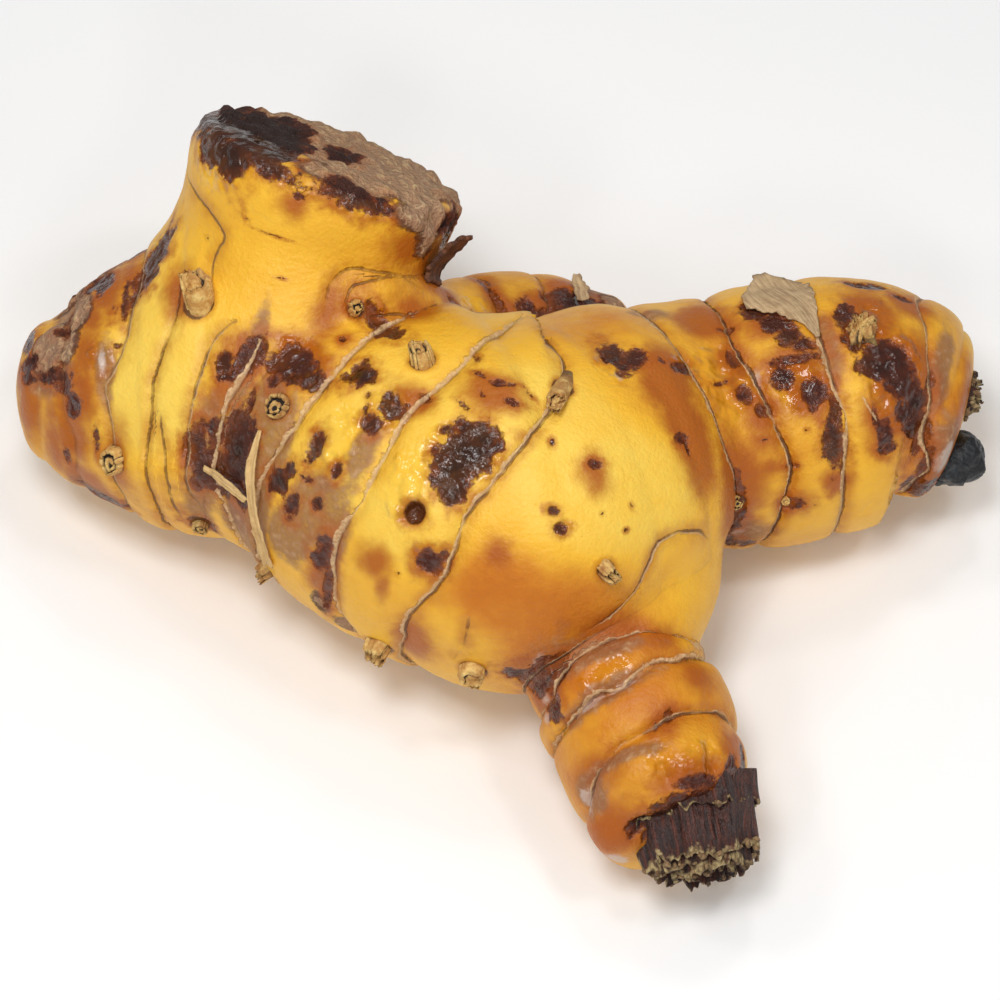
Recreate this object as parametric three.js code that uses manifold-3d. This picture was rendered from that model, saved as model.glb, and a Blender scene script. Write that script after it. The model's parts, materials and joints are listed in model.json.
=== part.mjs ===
// A galangal rhizome, dug up and trimmed: one grown body of ringed joints with its fingers, bud and cut
// knob, and the dried remains of leaf and stem that still cling to it.
// Millimetres, +Z up. It lies as it rests on a table, with the body running along X and the long finger
// towards -Y. The origin is under the middle of the whole rhizome, on the table.
import * as THREE from "three";
import { mergeVertices } from "three/addons/utils/BufferGeometryUtils.js";
import Module from "manifold-3d";

const wasm = await Module();
wasm.setup();

// Driving dimensions, mm
const SIDES = 34; // facets round a limb
const CLEARANCE = 0.3; // air between the rhizome and a dried piece that rests on it
const PAPER = 0.45; // thickness of a dried scale or strip
const UP = new THREE.Vector3(0, 0, 1);

const flesh = new THREE.MeshStandardMaterial({ color: 0xe2ab3c, roughness: 0.4, metalness: 0 });
const husk = new THREE.MeshStandardMaterial({ color: 0x5a3420, roughness: 0.7, metalness: 0 });
const straw = new THREE.MeshStandardMaterial({ color: 0xbf9a63, roughness: 0.8, metalness: 0 });
const budSkin = new THREE.MeshStandardMaterial({ color: 0x262c33, roughness: 0.4, metalness: 0 });

// Each limb is a spine of [x, y, z, half width, half height] from its root to its tip, with the length of the
// round cap past either end. A ring is a leaf scar round the limb: where it lies along the spine, how far it
// leans along it, and towards which side (degrees from the top, clockwise seen from the root).
// swell is how far a joint bulges between its rings, and groove how deep the rings are cut.
const limbs = {
  leftLobe: {
    caps: [4, 3.6],
    swell: 0.5,
    groove: 0.25,
    spine: [
      [-16, 16.7, 18, 14, 14],
      [-24, 17.2, 17.8, 16.2, 15.8],
      [-31, 18.1, 16.4, 16.4, 16.3],
      [-37.2, 18.8, 15.4, 15.8, 15.4],
      [-42, 19, 15, 13.7, 13.8],
      [-46.8, 19.2, 14.3, 10.8, 11.2],
      [-51, 19.6, 14, 7.2, 7.8],
    ],
    rings: [
      { at: 12, lean: 0, toward: 0 },
      { at: 19.4, lean: 2, toward: 290 },
      { at: 25.2, lean: 1.5, toward: 250 },
      { at: 32, lean: 0.5, toward: 250 },
    ],
  },
  knob: {
    caps: [3, 2.4],
    swell: 0.3,
    groove: 0.2,
    spine: [
      [-23.4, 16.2, 16, 15.5, 15.5],
      [-23.6, 19.7, 21, 14.6, 14.6],
      [-23, 24.4, 26.4, 13.5, 13.5],
      [-21.4, 29, 31.6, 14.3, 14],
      [-19.8, 32.3, 35.7, 15.2, 15.2],
      [-19, 33.8, 37.4, 15, 15.1],
    ],
    rings: [{ at: 9, lean: 3, toward: 90 }],
  },
  core: {
    caps: [2.5, 4.2],
    swell: 0.6,
    groove: 0.4,
    spine: [
      [-30.8, 16, 16.4, 10.8, 10.8],
      [-26, 13.2, 17.2, 13.8, 13.4],
      [-19.5, 10.2, 18.6, 16.4, 15.8],
      [-12.3, 5.7, 19.2, 17.9, 17.6],
      [-4.6, 1.2, 19.2, 18.7, 19.1],
      [3, -1.1, 18.8, 19.1, 19.3],
      [9.7, 1.3, 17.8, 16.2, 16.8],
      [14.8, 4.8, 17, 12.5, 14.2],
    ],
    rings: [
      { at: 3.6, lean: -5, toward: 90 },
      { at: 9.4, lean: -5, toward: 90 },
      { at: 18.6, lean: -6, toward: 90 },
      { at: 30, lean: -7, toward: 90 },
      { at: 39.5, lean: -7, toward: 90 },
    ],
  },
  rightFinger: {
    caps: [3, 3],
    swell: 0.5,
    groove: 0.35,
    spine: [
      [2, 5, 18, 13.6, 13.6],
      [9, 7.6, 17.9, 15.6, 15.4],
      [15, 10.6, 17, 15, 14.8],
      [21, 13.4, 15.8, 13.7, 13.5],
      [28.9, 15.2, 14.8, 14.4, 14.3],
      [37.7, 17.1, 14.5, 14, 14.3],
      [44.4, 17.9, 14.4, 12.2, 12.8],
      [49.5, 16.7, 13.4, 9.8, 8.4],
    ],
    rings: [
      { at: 20.2, lean: -4, toward: 300 },
      { at: 27.2, lean: -4, toward: 300 },
      { at: 35.6, lean: -1.5, toward: 300 },
      { at: 46.8, lean: 0, toward: 300 },
    ],
  },
  longFinger: {
    caps: [2, 3],
    swell: 0.7,
    groove: 0.45,
    spine: [
      [16, 1.2, 15, 7.4, 7.4],
      [15.8, -5.8, 15, 7.9, 7.8],
      [13.5, -11.8, 14.6, 8.2, 7.8],
      [12, -17.3, 13.5, 9.2, 8.8],
      [15.3, -24.1, 12, 9.6, 9.7],
      [17.5, -31, 10.3, 9.1, 9.4],
      [19, -35.3, 9.8, 7.7, 8.2],
    ],
    rings: [
      { at: 18.8, lean: 3, toward: 90 },
      { at: 23.4, lean: 3, toward: 90 },
      { at: 29, lean: 1.5, toward: 90 },
    ],
  },
  backFinger: {
    caps: [5, 3.6],
    swell: 0.3,
    groove: 0.3,
    spine: [
      [-15.8, 18.8, 33, 5.4, 5.4],
      [-11.6, 19, 27.6, 6.2, 6.2],
      [-7.8, 21.1, 22, 5.6, 5.6],
      [-3.3, 24.2, 17.1, 7.5, 7.5],
      [2.2, 25, 13.7, 9.3, 9.3],
      [7.2, 24.8, 12.4, 9.1, 9.1],
      [12.3, 24.9, 12.2, 7.5, 7.5],
    ],
    rings: [
      { at: 15, lean: 0, toward: 0 },
      { at: 22, lean: 0, toward: 0 },
      { at: 27, lean: 0, toward: 0 },
    ],
  },
};

// Roots trimmed to stubs: mm along the limb, degrees round it from the top, radius and height.
const roots = [
  { limb: "leftLobe", along: 15.5, around: 0, radius: 2, height: 2.2 },
  { limb: "leftLobe", along: 25.6, around: 294, radius: 1.5, height: 1.4 },
  { limb: "leftLobe", along: 34.6, around: 353, radius: 2.6, height: 0.5 },
  { limb: "leftLobe", along: 31, around: 350, radius: 1.5, height: 0.6 },
  { limb: "leftLobe", along: 30, around: 12, radius: 2, height: 0.5 },
  { limb: "leftLobe", along: 16.4, around: 258, radius: 1.1, height: 0.8 },
  { limb: "leftLobe", along: 22, around: 110, radius: 1.6, height: 1.4 },
  { limb: "knob", along: 12, around: 190, radius: 1.7, height: 1.4 },
  { limb: "core", along: 13.2, around: 31, radius: 1.6, height: 1.3 },
  { limb: "core", along: 25, around: 350, radius: 1.5, height: 1.9 },
  { limb: "core", along: 31.2, around: 42, radius: 1.5, height: 0.5 },
  { limb: "core", along: 39.9, around: 354, radius: 1.4, height: 1 },
  { limb: "core", along: 36.5, around: 97, radius: 1.6, height: 1.5 },
  { limb: "core", along: 41.2, around: 56, radius: 1.3, height: 1.1 },
  { limb: "core", along: 29.8, around: 104, radius: 1.5, height: 1.7 },
  { limb: "core", along: 16.2, around: 104, radius: 1.2, height: 1.5 },
  { limb: "rightFinger", along: 40.6, around: 2, radius: 1.7, height: 1.4 },
  { limb: "rightFinger", along: 21.2, around: 76, radius: 1.1, height: 0.8 },
  { limb: "rightFinger", along: 28.4, around: 78, radius: 0.8, height: 0.7 },
  { limb: "rightFinger", along: 24, around: 250, radius: 1.6, height: 1.4 },
  { limb: "rightFinger", along: 38, around: 275, radius: 1.5, height: 1.5 },
  { limb: "backFinger", along: -2.6, around: 45, radius: 0.9, height: 0.9 },
  { limb: "backFinger", along: 29, around: 245, radius: 1.4, height: 1.3 },
];

// Dried scales and fibres lying over the skin. Each follows a line of [mm along, degrees round, mm of air
// under it] on its limb and is as wide as its widths say along that line.
const papers = {
  fibre_long: {
    limb: "core",
    line: [[12.9, 39, 0.8], [13.7, 52, 1.6], [15.1, 66, 1.3], [16.7, 80, 0.9], [17.7, 92, 0.7]],
    widths: [0.5, 1.6, 1.5, 1.9, 1.7],
  },
  fibre_short: {
    limb: "core",
    line: [[6.1, 61, 0.7], [8.2, 62, 1.2], [10.6, 64, 1.3], [13.2, 67.5, 0.9]],
    widths: [0.7, 1.3, 1.1, 0.8],
  },
  scale_top: {
    limb: "rightFinger",
    line: [[35.2, 3, 0.5], [34.6, 353, 0.5], [33.6, 342, 0.6], [32.2, 331, 0.8], [31.4, 318, 1.6]],
    widths: [0.8, 2.8, 6, 8.4, 2.2],
  },
  scale_left: {
    limb: "leftLobe",
    line: [[17.8, 40, 0.7], [19.2, 43, 1.1], [20.6, 46, 1.7]],
    widths: [2.4, 2.6, 1.4],
  },
  scale_back: {
    limb: "backFinger",
    line: [[35, 346, 0.5], [34.6, 332, 0.6], [34, 319, 1.3]],
    widths: [1.3, 1.7, 0.9],
  },
  torn_skin: {
    limb: "knob",
    line: [[27.8, 92, 2.1], [25, 89, 1], [22, 86, 1], [18.8, 83, 1.6]],
    widths: [1.4, 3, 3.6, 3],
  },
};

// What is left of the stems, as torn sheaths: the middle of each end, the radius there, how many ribs run
// down the sheath, and how long its teeth are.
const sheaths = {
  stem_stub: {
    root: [21.2, -32.6, 12.2],
    tip: [23.4, -42, 8.6],
    radii: [6.4, 4.7],
    ribs: 7,
    teeth: 1.6,
  },
  stem_base: {
    root: [47.6, 17.4, 16],
    tip: [54.3, 17.6, 16.8],
    radii: [3.2, 2.8],
    ribs: 4,
    teeth: 0.9,
  },
};

// The unopened bud beside the right finger's old stem.
const bud = { middle: [51.2, 12.2, 12.3], radii: [3.6, 3.2, 3], turn: 20 };

const radians = THREE.MathUtils.degToRad;
const lerp = THREE.MathUtils.lerp;
const clamp = THREE.MathUtils.clamp;

// The spine's curve, its length and the curve of its half width and half height.
function traced(limb) {
  const path = new THREE.CatmullRomCurve3(
    limb.spine.map(([x, y, z]) => new THREE.Vector3(x, y, z)),
    false,
    "catmullrom",
  );
  const girth = new THREE.CatmullRomCurve3(
    limb.spine.map(([, , , w, h]) => new THREE.Vector3(w, h, 0)),
    false,
    "catmullrom",
  );
  return { ...limb, path, girth, length: path.getLength() };
}

// Where ring k lies along the spine at an angle round the limb. Before the first and after the last ring
// stand the two tips.
function ringAt(limb, k, angle) {
  if (k < 0) return -limb.caps[0];
  if (k >= limb.rings.length) return limb.length + limb.caps[1];
  const { at, lean, toward } = limb.rings[k];
  return at + lean * Math.cos(angle - radians(toward));
}

// Place and outward direction at a distance along the spine and an angle round it, lift mm off the skin.
function onSkin(limb, along, angle, relief = 0) {
  const held = clamp(along, 0, limb.length);
  const u = held / limb.length;
  const centre = limb.path.getPointAt(u);
  const forward = limb.path.getTangentAt(u);
  const side = new THREE.Vector3().crossVectors(forward, UP).normalize();
  const up = new THREE.Vector3().crossVectors(side, forward);
  const girth = limb.girth.getPoint(limb.path.getUtoTmapping(u));
  const past = along - held;
  const cap = past < 0 ? limb.caps[0] : limb.caps[1];
  const taper = Math.sqrt(Math.max(0, 1 - (past / cap) ** 2));
  const outward = up
    .clone()
    .multiplyScalar(Math.cos(angle) * girth.y)
    .addScaledVector(side, Math.sin(angle) * girth.x);
  const direction = outward.clone().normalize();
  const place = centre
    .addScaledVector(forward, past)
    .addScaledVector(outward, taper)
    .addScaledVector(direction, relief * taper);
  return { place, direction, forward };
}

// How far the skin stands out or in, at a share of the way from one ring to the next.
function jointRelief(limb, share) {
  return limb.swell - (limb.swell + limb.groove) * Math.abs(2 * share - 1) ** 4;
}

// A limb is a sphere drawn out along its spine: its rows of vertices go to the rings and between them.
function limbGeometry(limb, inflate = 0) {
  const stations = [];
  const joints = limb.rings.length;
  const toRoot = [0, 0.04, 0.15, 0.4, 0.7];
  const between = [0, 0.15, 0.5, 0.85];
  const toTip = [0, 0.08, 0.2, 0.32, 0.44, 0.55, 0.66, 0.76, 0.84, 0.9, 0.95, 0.985, 1];
  for (let k = -1; k < joints; k++) {
    const shares = k < 0 ? toRoot : k === joints - 1 ? toTip : between;
    for (const share of shares) stations.push({ k, share });
  }
  const geometry = new THREE.SphereGeometry(1, SIDES, stations.length - 1);
  const position = geometry.attributes.position;
  const uv = geometry.attributes.uv;
  for (let i = 0; i < position.count; i++) {
    const { k, share } = stations[Math.round((1 - uv.getY(i)) * (stations.length - 1))];
    const angle = -uv.getX(i) * Math.PI * 2;
    const along = lerp(ringAt(limb, k, angle), ringAt(limb, k + 1, angle), share);
    const relief = jointRelief(limb, share) + inflate;
    const { place } = onSkin(limb, along, angle, relief);
    position.setXYZ(i, place.x, place.y, place.z);
  }
  return geometry;
}

function solid(geometry) {
  const bare = geometry.index ? geometry.toNonIndexed() : geometry.clone();
  bare.deleteAttribute("normal");
  bare.deleteAttribute("uv");
  const merged = mergeVertices(bare, 1e-3);
  const mesh = new wasm.Mesh({
    numProp: 3,
    vertProperties: merged.attributes.position.array,
    triVerts: new Uint32Array(merged.index.array),
  });
  return new wasm.Manifold(mesh);
}

function geometryOf(body) {
  const mesh = body.getMesh();
  const geometry = new THREE.BufferGeometry();
  geometry.setAttribute("position", new THREE.BufferAttribute(mesh.vertProperties, 3));
  geometry.setIndex(new THREE.BufferAttribute(mesh.triVerts, 1));
  return geometry;
}

const traces = Object.fromEntries(Object.entries(limbs).map(([name, limb]) => [name, traced(limb)]));

function joined(inflate) {
  return Object.values(traces)
    .map((limb) => solid(limbGeometry(limb, inflate)))
    .reduce((all, limb) => all.add(limb));
}

// A trimmed root: a short drum with a flared foot and a rounded rim.
function rootStub({ limb, along, around, radius, height }) {
  const profile = [
    [0, -1.2],
    [1.3, -1.2],
    [1.3, 0.1],
    [1, 0.45 * height],
    [0.95, 0.85 * height],
    [0.7, height],
    [0, 0.9 * height],
  ];
  const points = profile.map(([r, y]) => new THREE.Vector2(r * radius, y));
  const { place, direction } = onSkin(traces[limb], along, radians(around));
  const upright = new THREE.Quaternion().setFromUnitVectors(new THREE.Vector3(0, 1, 0), direction);
  return new THREE.LatheGeometry(points, 9).applyQuaternion(upright).translate(place.x, place.y, place.z);
}

function rhizome() {
  const table = new THREE.BoxGeometry(300, 300, 20).translate(0, 0, -10);
  return roots
    .map((root) => solid(rootStub(root)))
    .reduce((all, root) => all.add(root), joined(0))
    .subtract(solid(table));
}

// A dried paper is a thin box bent to its line over the skin.
function paperGeometry({ limb, line, widths }) {
  const skin = traces[limb];
  const over = line.map(([along, around, air]) => {
    return onSkin(skin, along, radians(around), skin.swell + CLEARANCE + air + PAPER / 2);
  });
  const path = new THREE.CatmullRomCurve3(over.map(({ place }) => place), false, "catmullrom");
  const lay = new THREE.CatmullRomCurve3(over.map(({ direction }) => direction), false, "catmullrom");
  const widest = widths.map((width) => new THREE.Vector3(width, 0, 0));
  const breadth = new THREE.CatmullRomCurve3(widest, false, "catmullrom");
  const geometry = new THREE.BoxGeometry(1, 1, 1, 12, 1, 2);
  const position = geometry.attributes.position;
  for (let i = 0; i < position.count; i++) {
    const t = position.getX(i) + 0.5;
    const forward = path.getTangent(t);
    const across = new THREE.Vector3().crossVectors(lay.getPoint(t), forward).normalize();
    const outward = new THREE.Vector3().crossVectors(forward, across);
    const place = path
      .getPoint(t)
      .addScaledVector(across, -position.getZ(i) * breadth.getPoint(t).x)
      .addScaledVector(outward, position.getY(i) * PAPER);
    position.setXYZ(i, place.x, place.y, place.z);
  }
  return geometry;
}

// A sheath is a tapered drum with ribs down its side and torn teeth at its tip.
function sheathGeometry({ root, tip, radii, ribs, teeth }) {
  const start = new THREE.Vector3(...root);
  const end = new THREE.Vector3(...tip);
  const length = start.distanceTo(end);
  const geometry = new THREE.CylinderGeometry(radii[1], radii[0], length, 4 * ribs, 3);
  const position = geometry.attributes.position;
  for (let i = 0; i < position.count; i++) {
    const angle = Math.atan2(position.getX(i), position.getZ(i));
    const rib = 1 + 0.07 * Math.cos(ribs * angle);
    const atTip = position.getY(i) > length / 2 - 0.1;
    const torn = atTip ? teeth * 0.5 * Math.sin(2 * ribs * angle + 2 * angle) : 0;
    position.setXYZ(i, position.getX(i) * rib, position.getY(i) + torn, position.getZ(i) * rib);
  }
  const direction = end.clone().sub(start).normalize();
  const turn = new THREE.Quaternion().setFromUnitVectors(new THREE.Vector3(0, 1, 0), direction);
  const middle = start.add(end).multiplyScalar(0.5);
  return geometry.applyQuaternion(turn).translate(middle.x, middle.y, middle.z);
}

const budGeometry = new THREE.SphereGeometry(1, 20, 14)
  .scale(...bud.radii)
  .rotateZ(radians(bud.turn))
  .translate(...bud.middle);

const group = new THREE.Group();
function piece(name, body, material) {
  const mesh = new THREE.Mesh(geometryOf(body), material.clone());
  mesh.name = name;
  group.add(mesh);
}

const body = rhizome();
const room = joined(CLEARANCE);
piece("rhizome", body, flesh);
for (const [name, sheath] of Object.entries(sheaths)) {
  piece(name, solid(sheathGeometry(sheath)).subtract(room), husk);
}
piece("end_bud", solid(budGeometry).subtract(room), budSkin);
for (const [name, paper] of Object.entries(papers)) {
  piece(name, solid(paperGeometry(paper)).subtract(room), name === "torn_skin" ? husk : straw);
}

export default group;
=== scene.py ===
import json
import math
import random

import bmesh
import bpy
import numpy as np
from mathutils import Matrix, Vector, noise
from mathutils.kdtree import KDTree

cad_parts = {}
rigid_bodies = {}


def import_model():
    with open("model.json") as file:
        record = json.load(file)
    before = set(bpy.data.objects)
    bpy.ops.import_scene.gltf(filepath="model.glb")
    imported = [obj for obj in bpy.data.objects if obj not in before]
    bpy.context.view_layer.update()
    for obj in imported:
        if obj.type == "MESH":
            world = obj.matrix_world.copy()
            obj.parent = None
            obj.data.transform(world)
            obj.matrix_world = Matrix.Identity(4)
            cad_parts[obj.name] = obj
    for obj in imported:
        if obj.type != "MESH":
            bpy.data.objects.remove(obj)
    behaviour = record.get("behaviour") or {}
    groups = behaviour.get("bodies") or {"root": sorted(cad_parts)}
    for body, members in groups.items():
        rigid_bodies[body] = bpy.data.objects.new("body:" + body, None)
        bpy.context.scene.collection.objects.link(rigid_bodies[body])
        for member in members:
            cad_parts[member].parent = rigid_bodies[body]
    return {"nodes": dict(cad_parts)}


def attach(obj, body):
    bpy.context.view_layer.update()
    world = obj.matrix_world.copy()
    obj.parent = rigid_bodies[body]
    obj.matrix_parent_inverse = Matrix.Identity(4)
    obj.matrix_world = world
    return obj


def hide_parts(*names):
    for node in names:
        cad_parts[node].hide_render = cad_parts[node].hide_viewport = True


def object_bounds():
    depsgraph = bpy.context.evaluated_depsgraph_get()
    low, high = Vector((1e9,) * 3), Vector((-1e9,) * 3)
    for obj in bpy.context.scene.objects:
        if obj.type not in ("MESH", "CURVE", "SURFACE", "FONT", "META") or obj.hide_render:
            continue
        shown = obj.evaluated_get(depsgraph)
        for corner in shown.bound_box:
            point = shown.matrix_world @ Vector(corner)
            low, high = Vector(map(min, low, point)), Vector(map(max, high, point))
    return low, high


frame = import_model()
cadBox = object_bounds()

mm = 0.001  # shapes are worked out in millimetres and written to meshes in metres
scene = bpy.context.scene
print("frame loaded")

# The limbs. spine: x, y, z, half width, half height. rings: dark line 0 to 1, raised papery edge 0 to 1, then
# mm along at some degrees round from the top.
limbs = {
    "leftLobe": {
        "caps": (4, 3.6), "swell": 0.5, "groove": 0.15,
        "spine": [(-16, 16.7, 18, 14, 14), (-24, 17.2, 17.8, 16.2, 15.8), (-31, 18.1, 16.4, 16.4, 16.3),
                  (-37.2, 18.8, 15.4, 15.8, 15.4), (-42, 19, 15, 13.7, 13.8),
                  (-46.8, 19.2, 14.3, 10.8, 11.2), (-51, 19.6, 14, 7.2, 7.8)],
        "rings": [
            (0, 0, {0: 12}),
            (0.8, 0.15, {0: 16.4, 60: 17, 120: 18, 200: 19.5, 250: 21, 290: 21.2, 302: 20.8, 310: 20,
                317: 19.8, 326: 19.6, 334: 18.3, 341: 17.5, 347: 16.6}),
            (0.5, 0.6, {8: 23.6, 50: 23.4, 150: 24.5, 250: 26, 285: 26.4, 303: 26.2, 323: 26.5,
                333: 25.8, 343: 25, 355: 24.4}),
            (0.3, 0.2, {30: 31, 100: 32, 200: 31.5, 270: 31, 296: 30.8, 308: 31.8, 322: 32, 350: 32}),
        ],
    },
    "knob": {
        "caps": (3, 2.4), "swell": 0.3, "groove": 0.05,
        "spine": [(-23.4, 16.2, 16, 15.5, 15.5), (-23.6, 19.7, 21, 14.6, 14.6),
                  (-23, 24.4, 26.4, 13.5, 13.5), (-21.4, 29, 31.6, 14.3, 14),
                  (-19.8, 32.3, 35.7, 15.2, 15.2), (-19, 33.8, 37.4, 15, 15.1)],
        "rings": [
            (0, 0, {0: 9, 90: 12, 270: 6}),
        ],
    },
    "core": {
        "caps": (2.5, 4.2), "swell": 0.6, "groove": 0.2,
        "spine": [(-30.8, 16, 16.4, 10.8, 10.8), (-26, 13.2, 17.2, 13.8, 13.4),
                  (-19.5, 10.2, 18.6, 16.4, 15.8), (-12.3, 5.7, 19.2, 17.9, 17.6),
                  (-4.6, 1.2, 19.2, 18.7, 19.1), (3, -1.1, 18.8, 19.1, 19.3),
                  (9.7, 1.3, 17.8, 16.2, 16.8), (14.8, 4.8, 17, 12.5, 14.2)],
        "rings": [
            (0, 0, {5: 4.3, 15: 3, 30: 2.6, 45: 3, 57: 3.5, 66: 4, 80: 5, 180: 4, 341: 12.5, 345: 10.2,
                350: 8, 355: 6.3}),
            (0.4, 1, {3: 10.3, 9: 9.9, 16: 9.6, 24: 9.1, 28: 8.4, 37: 7.9, 45: 7.5, 57: 7.1, 66: 7.3,
                75: 8.1, 90: 8.4, 180: 8, 270: 11, 340: 14, 347: 12, 355: 11}),
            (0.5, 1, {0: 17.6, 13: 17.6, 19: 17.5, 27: 17.3, 34: 16.8, 45: 15.5, 60: 15, 90: 15,
                180: 17, 270: 19, 315: 19.4, 330: 19, 345: 18.5, 355: 18}),
            (0.5, 1, {0: 28, 10: 27.1, 20: 26.8, 30: 26.5, 45: 26.8, 55: 26, 68: 25.3, 82: 26.2,
                97: 26.5, 105: 28, 180: 29, 270: 30, 320: 30, 335: 29.2, 350: 28.5}),
            (0.8, 0.9, {3: 38.4, 5: 37.8, 11: 37.2, 14: 36.8, 18: 36.3, 28: 35.7, 38: 34.8, 52: 34.5,
                67: 34, 80: 32.5, 105: 31.5, 180: 34, 270: 42, 340: 43, 353: 40}),
        ],
    },
    "rightFinger": {
        "caps": (3, 3), "swell": 0.5, "groove": 0.2,
        "spine": [(2, 5, 18, 13.6, 13.6), (9, 7.6, 17.9, 15.6, 15.4), (15, 10.6, 17, 15, 14.8),
                  (21, 13.4, 15.8, 13.7, 13.5), (28.9, 15.2, 14.8, 14.4, 14.3),
                  (37.7, 17.1, 14.5, 14, 14.3), (44.4, 17.9, 14.4, 12.2, 12.8),
                  (49.5, 16.7, 13.4, 9.8, 8.4)],
        "rings": [
            (0.7, 1.5, {4: 16.4, 10: 16.6, 24: 16.6, 30: 16.9, 38: 17, 48: 17.4, 54: 18.2, 62: 19.5,
                75: 20.6, 95: 20.6, 180: 20, 270: 18, 330: 16.8, 345: 16.2, 353: 16.2}),
            (1, 0.6, {5: 24.8, 13: 25.4, 20: 26, 28: 27, 39: 27.9, 46: 28.4, 55: 29, 60: 29.3, 66: 29.2,
                72: 29, 80: 28.6, 92: 28, 180: 27, 270: 25, 323: 24, 340: 24, 355: 24.3}),
            (0.8, 1.2, {8: 35.5, 25: 36, 34: 36.3, 43: 36.7, 53: 36.6, 61: 36.3, 68: 36, 76: 35.8,
                90: 35.6, 180: 35.5, 270: 35, 340: 35, 355: 35.2}),
            (0.7, 0.9, {0: 46.2, 6: 46.6, 14: 47.1, 20: 47.7, 29: 48.3, 39: 48.6, 47: 49, 54: 49.4,
                60: 50, 74: 50.6, 90: 50, 180: 47, 270: 46, 340: 45.6, 350: 45.9}),
        ],
    },
    "longFinger": {
        "caps": (2, 3), "swell": 0.7, "groove": 0.35,
        "spine": [(16, 1.2, 15, 7.4, 7.4), (15.8, -5.8, 15, 7.9, 7.8), (13.5, -11.8, 14.6, 8.2, 7.8),
                  (12, -17.3, 13.5, 9.2, 8.8), (15.3, -24.1, 12, 9.6, 9.7), (17.5, -31, 10.3, 9.1, 9.4),
                  (19, -35.3, 9.8, 7.7, 8.2)],
        "rings": [
            (0.7, 0.6, {5: 20, 15: 20.2, 30: 20.1, 45: 20.8, 58: 21.4, 90: 22, 180: 20, 270: 19,
                322: 20, 338: 18.5, 350: 19.4}),
            (0.7, 0.9, {0: 24.9, 17: 25.2, 38: 24.6, 60: 24.8, 80: 25.6, 110: 26, 180: 26, 270: 24.6,
                320: 25.2, 335: 25, 345: 24.4}),
            (0.8, 0.5, {8: 30.9, 17: 31.4, 30: 31.8, 40: 32.4, 50: 33, 62: 34.4, 75: 35.6, 110: 36,
                180: 34, 270: 31.5, 320: 29.8, 345: 30.2, 358: 30.4}),
        ],
    },
    "backFinger": {
        "caps": (5, 3.6), "swell": 0.3, "groove": 0.2,
        "spine": [(-15.8, 18.8, 33, 5.4, 5.4), (-11.6, 19, 27.6, 6.2, 6.2), (-7.8, 21.1, 22, 5.6, 5.6),
                  (-3.3, 24.2, 17.1, 7.5, 7.5), (2.2, 25, 13.7, 9.3, 9.3), (7.2, 24.8, 12.4, 9.1, 9.1),
                  (12.3, 24.9, 12.2, 7.5, 7.5)],
        "rings": [
            (0.7, 0.2, {0: 9.5, 30: 9, 180: 11, 330: 10}),
            (0.9, 0.2, {0: 19.6, 15: 18.8, 30: 19, 180: 20, 335: 20.6}),
            (0.5, 0.3, {0: 27}),
        ],
    },
}

# Scars that run round only part of a limb: limb, dark line, papery edge, then mm along and degrees round
shortScars = [
    ("knob", 0.7, 0.35, [(23.2, 296), (22.4, 312), (21.4, 328), (19.6, 338), (18, 336), (16.6, 334),
                         (13.5, 335)]),
    ("knob", 0.8, 0.15, [(13.5, 25), (15, 27), (18, 30), (20.3, 38), (20.5, 50), (20.6, 58), (19.8, 66),
                         (18.8, 74)]),
    ("leftLobe", 0.8, 0, [(18.3, 316), (18.4, 309), (18, 298), (18, 286), (18.3, 275), (17.8, 262)]),
    ("leftLobe", 0.8, 0.5, [(7.6, 352), (10.9, 341), (12.3, 328), (13.8, 315), (15, 303), (15.7, 285),
                            (14.7, 271)]),
    ("core", 0.9, 0.6, [(50.4, 70), (49, 63), (46.6, 56), (44.8, 57), (43.4, 63), (42.4, 69), (41, 74),
                        (39.6, 78)]),
    ("core", 0.8, 0.2, [(36, 71), (36, 79), (35.9, 87), (35.4, 95)]),
    ("rightFinger", 0.2, 0.6, [(38.6, 32), (39.6, 40), (40.6, 47)]),
]


def curveThrough(knots, t):  # a smooth curve through every knot, t from 0 to 1
    knots = np.asarray(knots, float)
    padded = np.vstack([2 * knots[0] - knots[1], knots, 2 * knots[-1] - knots[-2]])
    place = np.asarray(t) * (len(knots) - 1)
    i = np.clip(place.astype(int), 0, len(knots) - 2)
    w = (place - i)[:, None]
    a, b, c, d = padded[i], padded[i + 1], padded[i + 2], padded[i + 3]
    leave, arrive = (c - a) / 2, (d - b) / 2
    cubed, squared = 2 * b - 2 * c + leave + arrive, 3 * c - 3 * b - 2 * leave - arrive
    return cubed * w**3 + squared * w**2 + leave * w + b


def traceLimb(limb):
    spine = np.array(limb["spine"], float)
    whole = curveThrough(spine, np.linspace(0, 1, 401))
    steps = np.linalg.norm(np.diff(whole[:, :3], axis=0), axis=1)
    limb["arc"] = np.concatenate([[0], np.cumsum(steps)])
    limb["length"] = limb["arc"][-1]
    limb["centre"], limb["girth"] = whole[:, :3], whole[:, 3:]
    forward = np.gradient(whole[:, :3], axis=0)
    limb["forward"] = forward / np.linalg.norm(forward, axis=1)[:, None]


def ringTable(knots):  # mm along at each whole degree, its corners rounded off
    turn = sorted(knots)
    values = np.interp(np.arange(360), turn, [knots[at] for at in turn], period=360)
    reach = 10
    window = np.exp(-(2 * np.arange(-reach, reach + 1) / reach) ** 2)
    values = np.concatenate([values[-reach:], values, values[:reach]])
    return np.convolve(values, window / window.sum(), "valid")


for limb in limbs.values():
    traceLimb(limb)
    limb["ringTables"] = [ringTable(ring[2]) for ring in limb["rings"]]


def alongLimb(limb, along, what):
    return np.stack([np.interp(along, limb["arc"], limb[what][:, i]) for i in range(limb[what].shape[1])], -1)


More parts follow.
